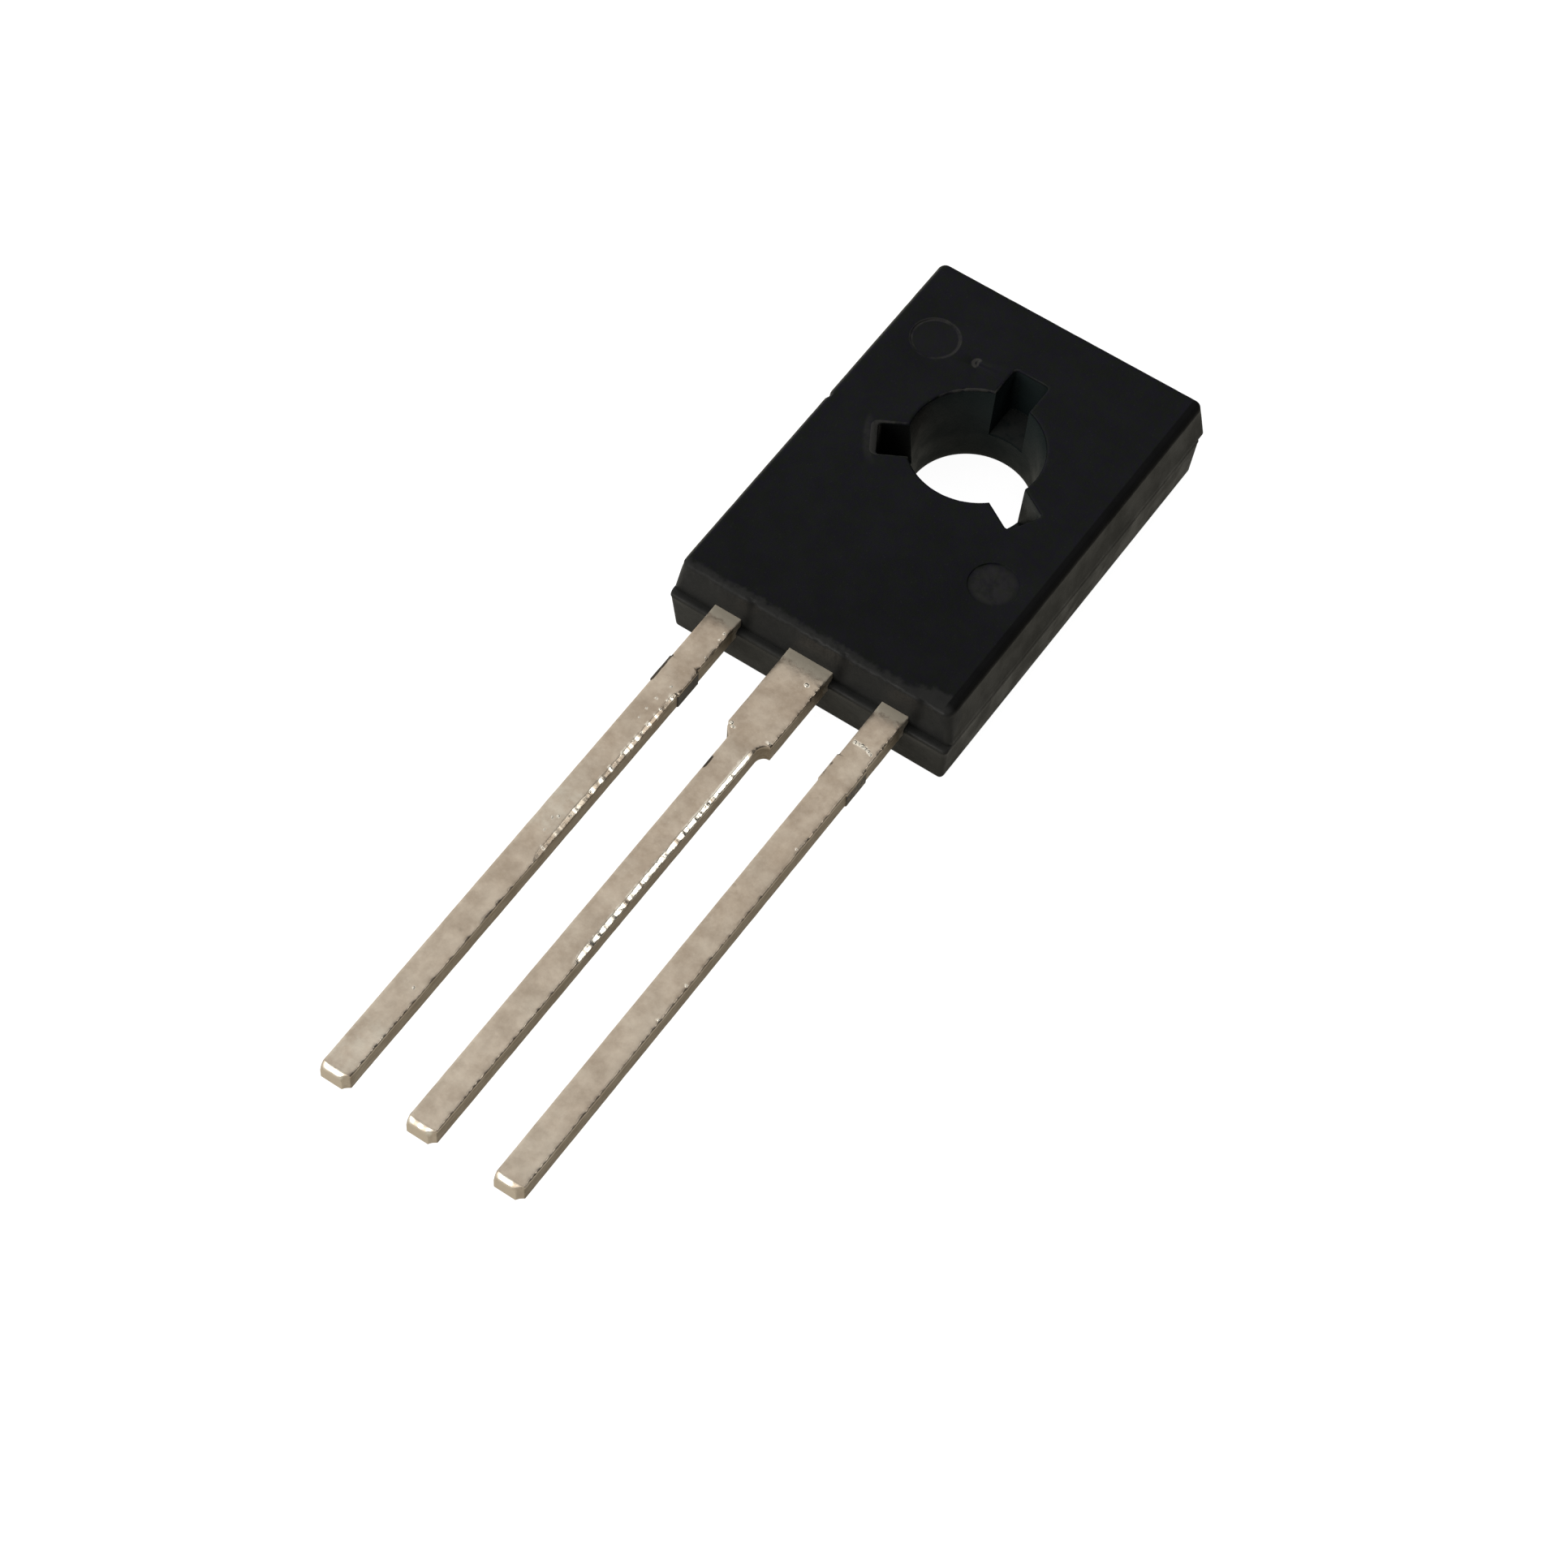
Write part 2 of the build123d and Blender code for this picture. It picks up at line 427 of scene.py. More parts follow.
def outerLoop(outline, z):
    return roundedLoop(*outline, z, moulding["perEnd"], moulding["perSide"], moulding["perCorner"])


def frontOutline(z, inset):
    share = (z - parting) / (frontTop - parting)
    side = halfWidth - moulding["frontSideInset"] * share - inset
    end = moulding["frontEndInset"] * share + inset
    corner = moulding["partingCorner"] + (moulding["frontCorner"] - moulding["partingCorner"]) * share
    return -side, side, leadEnd + end, farEnd - end, max(corner - inset, 0.03)


def backOutline(z, inset, endInset=0.0):
    share = 1 - z / parting
    side = halfWidth - moulding["backSideInset"] * share - inset
    low = bodyLow.y + moulding["backLeadInset"] * share + inset + endInset
    high = farEnd - moulding["mouldOffset"] - moulding["backFarInset"] * share - inset - endInset
    return -side, side, low, high, max(moulding["partingCorner"] - inset, 0.03)


def holeLoop(z, grow, lip=0.0):
    share = (z - moulding["slotFloor"]) / (frontTop - moulding["slotFloor"])
    bore = moulding["boreRadius"] + (moulding["frontBoreRadius"] - moulding["boreRadius"]) * share + grow
    half = moulding["slotHalfWidth"] + grow
    corner = moulding["slotCorner"] + grow
    near = math.sqrt(bore * bore - half * half)
    opening = math.asin(half / bore)
    points = []
    for turn in moulding["slotTurns"]:
        middle = math.radians(turn)
        reach = moulding["slotReach"] + grow - (lip if turn == moulding["slotTurns"][1] else 0)
        end = reach - corner
        along = Vector((math.cos(middle), math.sin(middle), 0))
        across = Vector((-along.y, along.x, 0))
        spots = [(near + (reach - corner - near) * step / 14, -half) for step in range(14)]
        for step in range(6):
            angle = math.radians(-90 + 15 * step)
            spots.append((end + corner * math.cos(angle), corner - half + corner * math.sin(angle)))
        spots += [(reach, (half - corner) * (step / 6 - 1)) for step in range(12)]
        for step in range(6):
            angle = math.radians(15 * step)
            spots.append((end + corner * math.cos(angle), half - corner + corner * math.sin(angle)))
        spots += [(reach - corner + (near - reach + corner) * step / 14, half) for step in range(14)]
        points += [along * u + across * v + Vector((0, 0, z)) for u, v in spots]
        span = math.radians(120) - 2 * opening
        for step in range(moulding["arcPoints"]):
            angle = middle + opening + span * step / moulding["arcPoints"]
            points.append(Vector((bore * math.cos(angle), bore * math.sin(angle), z)))
    return points


def circleLoop(middle, radius, z, count=72):
    turns = [math.tau * step / count for step in range(count)]
    return [Vector((middle[0] + radius * math.cos(t), middle[1] + radius * math.sin(t), z)) for t in turns]


# rubbed and dented edges of the outer skin, always inwards
def wornOuter(point):
    x, y, z = point
    sink = 0.0012 * (0.5 + 0.5 * ripple(x, y, z, 1.3))
    if z > frontTop - 0.3:
        atLeads = ease(y, leadEnd + 0.4, leadEnd + 0.05)
        sink += 0.003 + 0.006 * max(ripple(x, y, z, 0.25, 3.1), 0)
        crumbs = 0.03 * max(ripple(x, y, z, 0.11, 7.7), 0) + 0.04 * max(ripple(x, y, z, 0.26, 6.1), 0)
        sink += atLeads * crumbs
        sink += 0.05 * hump(y, moulding["nick"], 0.07) * ease(-x, 3.4, 3.6)
    middle = Vector((x * 0.2, (leadEnd + farEnd) / 2 + (y - (leadEnd + farEnd) / 2) * 0.4, parting))
    inward = (middle - point).normalized()
    moved = point + inward * sink
    moved.z = min(moved.z, frontTop)
    return moved


# small bits broken from the rim of the hole
def wornRim(point):
    x, y, z = point
    angle = math.degrees(math.atan2(y, x)) % 360
    weak = 0.25 + 0.75 * hump(angle, 125, 35)
    broken = weak * max(ripple(x, y, 0, 0.10, 1.9) - 0.15, 0)
    out = Vector((x, y, 0)).normalized()
    return point + out * 0.03 * broken - Vector((0, 0, 0.045 * broken))


def buildMoulding():
    bm = bmesh.new()
    edge = moulding["frontEdge"]
    tangent = frontTop - edge
    rows = [outerLoop(frontOutline(tangent, edge + 0.05), frontTop)]
    for step in range(8):
        angle = math.radians(90 - 90 * step / 7)
        inset = edge * (1 - math.cos(angle))
        row = outerLoop(frontOutline(tangent, inset), tangent + edge * math.sin(angle))
        rows.append([wornOuter(point) for point in row] if step else row)
    for step in range(1, 9):
        z = tangent + (parting + 0.02 - tangent) * step / 8
        rows.append([wornOuter(point) for point in outerLoop(frontOutline(z, 0), z)])
    rows.append(outerLoop(frontOutline(parting, 0.012), parting + 0.005))
    for step in range(5):
        turn = math.radians(22.5 * step)
        inset, drop = 0.10 * (1 - math.sin(turn)), 0.10 * (1 - math.cos(turn))
        rows.append(outerLoop(backOutline(parting, 0.008 * (1 - step / 4), inset), parting - 0.002 - drop))
    backTangent = moulding["backEdge"]
    for step in range(8):
        z = parting - 0.14 + (backTangent - parting + 0.14) * step / 7
        rows.append([wornOuter(point) for point in outerLoop(backOutline(z, 0), z)])
    for step in range(1, 6):
        angle = math.radians(90 * step / 5)
        inset = backTangent * (1 - math.cos(angle))
        rows.append(outerLoop(backOutline(backTangent, inset), backTangent * (1 - math.sin(angle))))
    rows.append(outerLoop(backOutline(backTangent, backTangent + 0.05), 0))
    outer = bridgeRows(bm, rows)

    rim = moulding["rimRadius"]
    rows = [holeLoop(frontTop, rim + 0.03)]
    for step in range(6):
        angle = math.radians(90 - 18 * step)
        row = holeLoop(frontTop, rim * (1 - math.cos(angle)), moulding["lip"] * step / 5)
        lift = rim * (math.sin(angle) - 1)
        row = [point + Vector((0, 0, lift)) for point in row]
        rows.append([wornRim(point) for point in row] if step else row)
    top = frontTop - rim
    for step in range(1, 13):
        z = top + (moulding["slotFloor"] - top) * step / 12
        rows.append(holeLoop(z, 0, moulding["lip"]))
    hole = bridgeRows(bm, rows)

    # each notch ends on a floor, and below the floors the lined bore is round
    bore = moulding["boreRadius"]
    opening = math.asin(moulding["slotHalfWidth"] / bore)
    ring = []
    third = moulding["slotPoints"] + moulding["arcPoints"]
    for i, turn in enumerate(moulding["slotTurns"]):
        first, last = third * i, third * i + moulding["slotPoints"]
        notch = hole[-1][first:last + 1]
        angles = [math.radians(turn) + opening * (step / 5.5 - 1) for step in range(1, 11)]
        mouth = [Vector((bore * math.cos(a), bore * math.sin(a), moulding["slotFloor"])) for a in angles]
        mouth = addLoop(bm, mouth)
        fillFlat(bm, notch + mouth[::-1])
        ring += notch[:1] + mouth + hole[-1][last:first + third]
    lower = [(1.0, moulding["slotFloor"] * (1 - step / 9)) for step in range(1, 9)]
    for grow, z in lower + [(1.01, 0.014), (1.025, 0.0)]:
        row = addLoop(bm, [Vector((vert.co.x * grow, vert.co.y * grow, z)) for vert in ring])
        bridge(bm, ring, row)
        ring = [vert for vert in row]

    openings = [hole[0]]
    for name in ("leftMark", "rightMark"):
        middle = moulding[name]
        radius = moulding["markRadius"]
        depth = moulding["markDepth"]
        rough = 0.012 if name == "rightMark" else 0.003
        rows = [circleLoop(middle, radius + 0.02, frontTop), circleLoop(middle, radius, frontTop - 0.004)]
        for share in (0.975, 0.94, 0.8, 0.6, 0.4, 0.2, 0.04):
            row = circleLoop(middle, radius * share, frontTop - depth)
            rows.append([p + Vector((0, 0, rough * ripple(p.x, p.y, 0, 0.16, 5.0))) for p in row])
        mark = bridgeRows(bm, rows)
        bm.faces.new(mark[-1])
        openings.append(mark[0])

    # gouge beside the hole: a ragged pit
    spot = moulding["chip"]
    rows = []
    for size, depth in ((1.0, 0.0), (0.6, 0.016)):
        row = []
        for step in range(18):
            turn = math.tau * step / 18
            ragged = 1 + 0.35 * ripple(math.cos(turn), math.sin(turn), 0, 0.6, 4.4)
            u, v = 0.045 * size * ragged * math.cos(turn), 0.10 * size * ragged * math.sin(turn)
            row.append(Vector((spot[0] + u - 0.3 * v, spot[1] + v + 0.3 * u, frontTop - depth)))
        rows.append(row)
    pit = bridgeRows(bm, rows)
    bm.faces.new(pit[-1])
    openings.append(pit[0])
    fillFlat(bm, outer[0], *openings)

    # room for the header: over it, round its lock rim, and open at the back
    side = header["width"] / 2
    lock = header["lockWidth"]
    full = (-side, side, header["leadEnd"], header["farEnd"], header["corner"])
    pad = (-side + lock, side - lock, header["leadEnd"] + lock, header["farEnd"] - lock, header["corner"])
    rows = [
        roundedLoop(*full, header["thickness"], 40, 60, 8),
        roundedLoop(*full, header["lockHeight"], 40, 60, 8),
        roundedLoop(*pad, header["lockHeight"], 40, 60, 8),
        roundedLoop(*pad, 0, 40, 60, 8),
    ]
    pocket = bridgeRows(bm, rows)
    rows = [circleLoop((0, 0), header["boreRadius"], z, 120) for z in (0, header["thickness"])]
    sleeve = bridgeRows(bm, rows)
    fillFlat(bm, ring, sleeve[0])
    fillFlat(bm, sleeve[-1], pocket[0])
    fillFlat(bm, pocket[-1], outer[-1])
    return looseObject(bm, "epoxy_body")


# painted highlight on the rim of the hole and at the notch ends, and epoxy skin rubbed pale at the nick and
# gouge and along the side edges
def epoxyWearAndShine(point):
    x, y, z = point
    if z < frontTop - 0.17 or z > frontTop - 0.001:
        return 0.0
    wearAndShine = 0.0
    if abs(x) > 3.4:
        wearAndShine = 0.50 + 0.75 * hump(y, moulding["nick"], 0.09) * ease(-x, 3.3, 3.5)
    elif 1.5 < math.hypot(x, y) < 2.62:
        angle = math.degrees(math.atan2(y, x)) % 360
        wearAndShine = 0.62 + 0.55 * hump(angle, 128, 30) + 0.75 * hump(angle, 211, 17)
        wearAndShine *= ease(z, frontTop - 0.12, frontTop - 0.03)
    if abs(x - moulding["chip"][0]) < 0.3 and abs(y - moulding["chip"][1]) < 0.3 and z < frontTop - 0.004:
        wearAndShine = 1.5
    return wearAndShine


# painted shadow that runs from each lead up the end wall, on its right
def endWallShadow(point):
    x, y, z = point
    if y > leadEnd + 0.12 or z < parting:
        return 0.0
    amount = 0.0
    for edge in (-2.29 + 0.365, 0.60, 2.29 + 0.365):
        drift = edge + 0.13 + 0.10 * (z - parting)
        amount += hump(x, drift, 0.13) * (0.75 + 0.4 * ripple(x, y, z, 0.3))
    return min(max(amount, 0), 1)


def epoxyFinish():
    material, tree, shader, place = newFinish("moulded_epoxy_finish")
    spot = addNode(tree, "SeparateXYZ", {0: place}).outputs
    tint = useGroup(
        tree, patchyTint, Place=place, Size=0.8, Contrast=0.16,
        Dark=moulding["epoxyDark"], Light=moulding["epoxyLight"],
    )
    grain = useGroup(tree, fineGrain, Place=place, Size=0.055, Rarity=0.86)
    coarse = useGroup(tree, fineGrain, Place=place, Size=0.16, Rarity=0.7)
    hues = useGroup(
        tree, patchyTint, Place=place, Size=0.15, Contrast=0.11,
        Dark=moulding["blueEpoxy"], Light=moulding["greenEpoxy"],
    )
    colour = blendColour(tree, 0.75, tint["Colour"], hues["Colour"])
    dimmer = stretchRange(tree, spot["Y"], -6.5, -1.5, 0.30, 0.0)  # the front is darkest towards the leads
    colour = blendColour(tree, dimmer, colour, moulding["shadeEpoxy"])
    colour = blendColour(
        tree, product(tree, grain["Fleck"], 0.22), colour, moulding["rubbedAndLitEpoxy"]
    )

    # the hole is greener inside, with painted shade darkest in its left notch and painted light on the floors
    # and by the right one
    flat = addNode(tree, "CombineXYZ", {0: spot["X"], 1: spot["Y"]}).outputs[0]
    fromAxis = addNode(tree, "VectorMath", {0: flat}, operation="LENGTH").outputs["Value"]
    inHole = product(
        tree, stretchRange(tree, fromAxis, 2.46, 2.50, 1.0, 0.0),
        stretchRange(tree, spot["Z"], frontTop - 0.10, frontTop - 0.04, 1.0, 0.0),
    )
    colour = blendColour(tree, product(tree, inHole, 0.8), colour, moulding["boreEpoxy"])
    inLeft = product(tree, inHole, stretchRange(tree, spot["X"], -1.62, -1.50, 0.9, 0.0))
    colour = blendColour(tree, inLeft, colour, moulding["shadeEpoxy"])
    lightBreakup = raggedMask(tree, place, 1.05, 0.30)
    onFloor = bandMask(tree, spot["Z"], moulding["slotFloor"], 0.06)
    onFloor = product(tree, onFloor, stretchRange(tree, fromAxis, 1.53, 1.60, 0.0, 0.45))
    byRight = product(tree, inHole, stretchRange(tree, spot["X"], 1.25, 1.55, 0.0, 0.28))
    # painted light on the notch floors and on the hole wall by the right notch
    pale = product(tree, larger(tree, onFloor, byRight), lightBreakup)
    colour = blendColour(tree, pale, colour, moulding["rubbedAndLitEpoxy"])

    # olive sides with painted light, paler upwards, and painted light on the end wall, its upper border
    # ragged
    away = addNode(tree, "Math", {0: spot["X"]}, operation="ABSOLUTE").outputs[0]
    # painted light makes the olive sides paler, most on the upper part
    upper = stretchRange(tree, spot["Z"], parting - 0.1, frontTop - 0.3)
    sides = blendColour(tree, upper, moulding["litSideEpoxy"], moulding["upperLitSideEpoxy"])
    colour = blendColour(tree, stretchRange(tree, away, 3.56, 3.62), colour, sides)
    # painted light on the end wall, paler near the leads and reaching further up in the right corner
    reachUp = stretchRange(tree, spot["X"], 2.3, 3.2, 0.0, 0.30)  # further up in the right corner
    reachUp = product(tree, reachUp, stretchRange(tree, spot["Z"], parting + 0.3, parting + 0.6))
    inFromEnd = sums(tree, "SUBTRACT", spot["Y"], reachUp)
    ramp = stretchRange(tree, inFromEnd, leadEnd + 0.04, leadEnd + 0.50, 1.35, 0.45, "LINEAR")
    endWallLight = raggedMask(tree, place, ramp, 0.24)
    lowEnd = stretchRange(tree, spot["Z"], parting - 0.12, parting + 0.02)
    ends = blendColour(tree, lowEnd, moulding["lowLitEndEpoxy"], moulding["litEndEpoxy"])
    patches = raggedMask(tree, place, 1.0, 0.5)
    endWallLight = product(tree, endWallLight, stretchRange(tree, patches, 0.0, 1.0, 0.70, 1.0, "LINEAR"))
    colour = blendColour(tree, endWallLight, colour, ends)

    # painted highlight round the hole's rim, with rubbed pale edges
    marked = addNode(tree, "Attribute", attribute_name="wearAndShine").outputs["Fac"]
    strip = raggedMask(tree, place, marked, 0.20)
    colour = blendColour(tree, product(tree, strip, 0.75), colour, moulding["rubbedAndLitEpoxy"])

    # the right ejector mark is dull and pale, the left one has a thin pale ring
    front = stretchRange(tree, spot["Z"], frontTop - 0.10, frontTop - 0.05)
    right = distanceTo(tree, flat, moulding["rightMark"])
    left = distanceTo(tree, flat, moulding["leftMark"])
    disc = stretchRange(tree, right, 0.44, 0.64, 1.0, 0.0)
    scrub = raggedMask(tree, place, 1.0, 0.34)
    disc = product(tree, disc, stretchRange(tree, scrub, 0.0, 1.0, 0.10, 0.30))
    ring = bandMask(tree, left, 0.585, 0.06)
    broken = raggedMask(tree, place, 1.0, 0.45)
    ring = product(tree, ring, stretchRange(tree, broken, 0.15, 0.95, 0.04, 0.60, "LINEAR"))
    inner = stretchRange(tree, left, 0.54, 0.60, 0.05, 0.0)
    marks = larger(tree, larger(tree, disc, ring), inner)

    # pale half ring round the gouge, and a painted highlight on the lip at the end of the left notch
    gouge = distanceTo(tree, flat, moulding["chip"])
    gouge = bandMask(tree, gouge, 0.105, 0.065)
    opened = stretchRange(tree, spot["X"], moulding["chip"][0] - 0.01, moulding["chip"][0] + 0.07, 0.95, 0.0)
    marks = larger(tree, marks, product(tree, gouge, opened))
    # painted highlight on the lip at the end of the left notch
    lip = bandMask(tree, fromAxis, 2.55, 0.14)
    lip = product(tree, lip, bandMask(tree, spot["Y"], -1.25, 0.75))
    lip = product(tree, lip, stretchRange(tree, spot["X"], -1.70, -1.50, 0.32, 0.0))
    marks = larger(tree, marks, product(tree, lip, broken))
    marks = product(tree, marks, front)
    colour = blendColour(tree, marks, colour, moulding["rubbedAndLitEpoxy"])

    # painted shadow to the right of each lead on the end wall
    leadShadow = addNode(tree, "Attribute", attribute_name="leadShadow").outputs["Fac"]
    colour = blendColour(tree, product(tree, leadShadow, 0.75), colour, moulding["leadShadowColour"])
    # painted shade on the rounded right edge of the front, which is also made rougher
    shade = product(
        tree, stretchRange(tree, spot["X"], 3.40, 3.44),
        stretchRange(tree, spot["Z"], frontTop - 0.165, frontTop - 0.13),
    )
    shade = product(tree, shade, stretchRange(tree, spot["Y"], leadEnd + 0.14, leadEnd + 0.40))
    colour = blendColour(tree, product(tree, shade, 0.92), colour, moulding["shadeEpoxy"])
    tree.links.new(colour, shader.inputs["Base Color"])

    rough = stretchRange(tree, tint["Mask"], 0.0, 1.0, moulding["roughLow"], moulding["roughHigh"], "LINEAR")
    rough = sums(tree, "ADD", rough, product(tree, larger(tree, strip, marks), 0.15))
    rough = sums(tree, "ADD", rough, product(tree, shade, 0.20))
    tree.links.new(sums(tree, "ADD", rough, product(tree, leadShadow, 0.25)), shader.inputs["Roughness"])
    shader.inputs["Specular IOR Level"].default_value = moulding["gloss"]
    setBump(tree, shader, (coarse["Height"], 0.010, 0.5), (grain["Height"], 0.006, 0.7), (strip, 0.010, 0.4))
    return material


# leads

lead = {
    "pitch": 2.29,
    "width": 0.73,
    "bottom": 1.03,
    "top": 1.55,
    "topEdge": 0.025,
    "bottomEdge": 0.03,
    "tipChamfer": 0.12,
    "tipRoll": 0.15,
    "stubFrom": -8.53,
    "stubTo": -9.33,
    "stub": 0.03,
    "postMiddle": -5.715,
    "postWidth": 1.50,
    "postLength": 1.25,
    "postCorner": 0.20,
    "shoulderWidth": 1.20,
    "shoulderEnd": -9.30,
    "taperEnd": -9.56,
    "shoulderCorner": 0.25,
    "neckRise": (-5.25, -6.15),
    "rowStep": 0.05,
    "rootDark": (0.47, 0.38, 0.29, 1),
    "rootLight": (0.55, 0.455, 0.35, 1),
    "tipDark": (0.57, 0.485, 0.385, 1),
    "tipLight": (0.71, 0.615, 0.50, 1),
    "greenish": (0.53, 0.49, 0.40, 1),
    "cloudDark": (0.36, 0.29, 0.22, 1),
    "cloudLight": (0.70, 0.61, 0.50, 1),
    "frost": (0.82, 0.79, 0.68, 1),
    "rootGrey": (0.50, 0.455, 0.365, 1),
    # the punched sides, darkened partly as painted shade
    "flank": (0.25, 0.20, 0.142, 1),
    "cutEnd": (0.70, 0.61, 0.49, 1),
    "shear": (0.030, 0.022, 0.012, 1),
    # bright tin, also used for painted highlights
    "beadTinAndHighlight": (0.88, 0.83, 0.72, 1),
    "roughLow": 0.27,
    "roughHigh": 0.38,
    # where the tin ran along the right upper edge, and a painted highlight lies on it
    "emitterRun": (-9.3, -14.5),
    "collectorRun": (-9.60, -16.1),
    "baseRun": (0.0, 0.0),  # nowhere
    # painted highlights on the rolled tips: across, half length
    "emitterShine": [(-2.46, 0.12), (-2.20, 0.11)],
    "collectorShine": [(-0.27, 0.06), (-0.02, 0.04), (0.20, 0.05)],
    "baseShine": [(2.20, 0.17)],
    # drops of tin: across, along, radius
    "emitterDrops": [
        (-2.015, -7.354, 0.026), (-2.00, -7.545, 0.022), (-1.991, -8.13, 0.020), (-2.155, -9.241, 0.024),
        (-1.979, -9.433, 0.028), (-2.01, -9.60, 0.024), (-2.013, -9.88, 0.030), (-2.25, -9.69, 0.022),
        (-2.28, -10.04, 0.020), (-2.266, -10.347, 0.022), (-2.01, -10.39, 0.030), (-1.997, -10.645, 0.024),
        (-2.00, -10.927, 0.026), (-2.013, -11.356, 0.034), (-2.00, -12.60, 0.034), (-2.29, -13.62, 0.026),
        (-2.19, -13.52, 0.028), (-2.236, -13.99, 0.024), (-1.99, -13.35, 0.026), (-2.15, -18.9, 0.030),
    ],
    "collectorDrops": [
        (0.30, -7.42, 0.055), (-0.50, -9.24, 0.048), (-0.42, -9.32, 0.036), (0.50, -9.22, 0.036),
    ],
    "baseDrops": [
        (2.05, -8.06, 0.046), (2.145, -8.06, 0.036), (2.24, -8.05, 0.044), (2.335, -8.075, 0.036),
        (2.43, -8.10, 0.044), (2.515, -8.15, 0.036),
        (2.57, -11.17, 0.022), (2.60, -15.45, 0.028), (2.60, -16.49, 0.030),
    ],
}
tipEnd = nodeBox("emitter_lead")[0].y


# fall of the right upper edge, where the tin ran: across and down
tinFacet = [
    (-0.150, 0.0), (-0.130, -0.0035), (-0.112, -0.012), (-0.080, -0.0305),
    (-0.048, -0.049), (-0.016, -0.0675), (-0.004, -0.080), (0.0, -0.100),
]


# soft fall of the left upper edge
tinFall = [(0.0, -0.030), (0.001, -0.0295), (0.03, -0.018), (0.06, -0.010), (0.10, -0.004), (0.15, 0.0)]


# rounded section of a strip, clockwise seen from the tip, starting on the upper left corner
def stripSection(x0, x1, z0, z1, topEdge, bottomEdge, y, fall=0.0, facet=0.0):
    corners = [
        (x0 + topEdge, z1 - topEdge, topEdge, 180, 6),
        (x1 - topEdge, z1 - topEdge, topEdge, 90, 8),
        (x1 - bottomEdge, z0 + bottomEdge, bottomEdge, 0, 6),
        (x0 + bottomEdge, z0 + bottomEdge, bottomEdge, -90, 6),
    ]
    counts = (12, 7, 8, 7)
    arcs = []
    for cx, cz, radius, start, steps in corners:
        turns = [math.radians(start - 90 * step / (steps - 1)) for step in range(steps)]
        arcs.append([Vector((cx + radius * math.cos(t), y, cz + radius * math.sin(t))) for t in turns])
    for i, (across, down) in enumerate(tinFall):
        arcs[0][i] = arcs[0][i].lerp(Vector((x0 + across, y, z1 + down)), fall)
    for i, (across, down) in enumerate(tinFacet):
        arcs[1][i] = arcs[1][i].lerp(Vector((x1 + across, y, z1 + down)), facet)
    points = []
    for i, arc in enumerate(arcs):
        goal = arcs[(i + 1) % 4][0]
        points += arc + [arc[-1].lerp(goal, step / counts[i]) for step in range(1, counts[i])]
    return points


def roundedStep(y, low, high, half, corner):
    if not low <= y <= high:
        return 0.0
    deep = min(y - low, high - y)
    if deep < corner:
        return half - corner + math.sqrt(max(corner * corner - (corner - deep) ** 2, 0))
    return half


def tipShape(y, x0, x1, top):
    gone = y - tipEnd
    x1 -= max(lead["tipChamfer"] - gone, 0)
    roll = lead["tipRoll"]
    if gone < roll:
        rounded = roll - math.sqrt(max(roll * roll - (roll - gone) ** 2, 0))
        top -= 0.6 * rounded + 0.4 * max(roll - 0.02 - gone, 0)
    return x0, x1, top


# left, right, bottom and top of an outer lead at one place along it
def outerShape(y, middle):
    half = lead["width"] / 2
    low = lead["postMiddle"] - lead["postLength"] / 2
    half = max(half, roundedStep(y, low, low + lead["postLength"], lead["postWidth"] / 2, lead["postCorner"]))
    soft = 0.015
    inStub = ease(y, lead["stubTo"] - soft, lead["stubTo"] + soft)
    inStub *= ease(-y, -lead["stubFrom"] - soft, -lead["stubFrom"] + soft)
    half += lead["stub"] * inStub
    x0, x1, top = tipShape(y, middle - half, middle + half, lead["top"])
    return x0, x1, lead["bottom"], top


def collectorShape(y, middle):
    wide = lead["shoulderWidth"] / 2
    thin = lead["width"] / 2
    start, end = lead["shoulderEnd"], lead["taperEnd"]
    x0, x1 = -thin, thin
    if y > end:
        share = min((y - end) / (start - end), 1.0)
        x0 = -thin - (wide - thin) * share
        soft = lead["shoulderCorner"] * 0.42
        if abs(y - start) < soft:  # the left corner is rounded
            x0 += 0.055 * (1 - abs(y - start) / soft) ** 2
        x1 = thin + (wide - thin) * (1 - math.sqrt(max(1 - share * share, 0))) if share < 1 else wide
    x0, x1, top = tipShape(y, x0, x1, lead["top"])
    bottom = lead["bottom"]
    near, far = lead["neckRise"]
    drop = lead["top"] - header["thickness"] + 0.01
    sink = drop * ease(y, far, near)
    slope = (ease(y + 0.02, far, near) - ease(y - 0.02, far, near)) * drop / 0.04
    thicker = (lead["top"] - lead["bottom"]) * (math.sqrt(1 + slope * slope) - 1) / 2
    return x0, x1, bottom - sink - thicker, top - sink + thicker


def rowPlaces(first, last, extra):
    places = set()
    steps = int((first - last) / lead["rowStep"])
    for step in range(steps + 1):
        places.add(round(first - lead["rowStep"] * step, 4))
    for start, end, step in extra:
        for i in range(int(round((start - end) / step)) + 1):
            places.add(round(start - step * i, 4))
    return sorted((place for place in places if last <= place <= first), reverse=True)


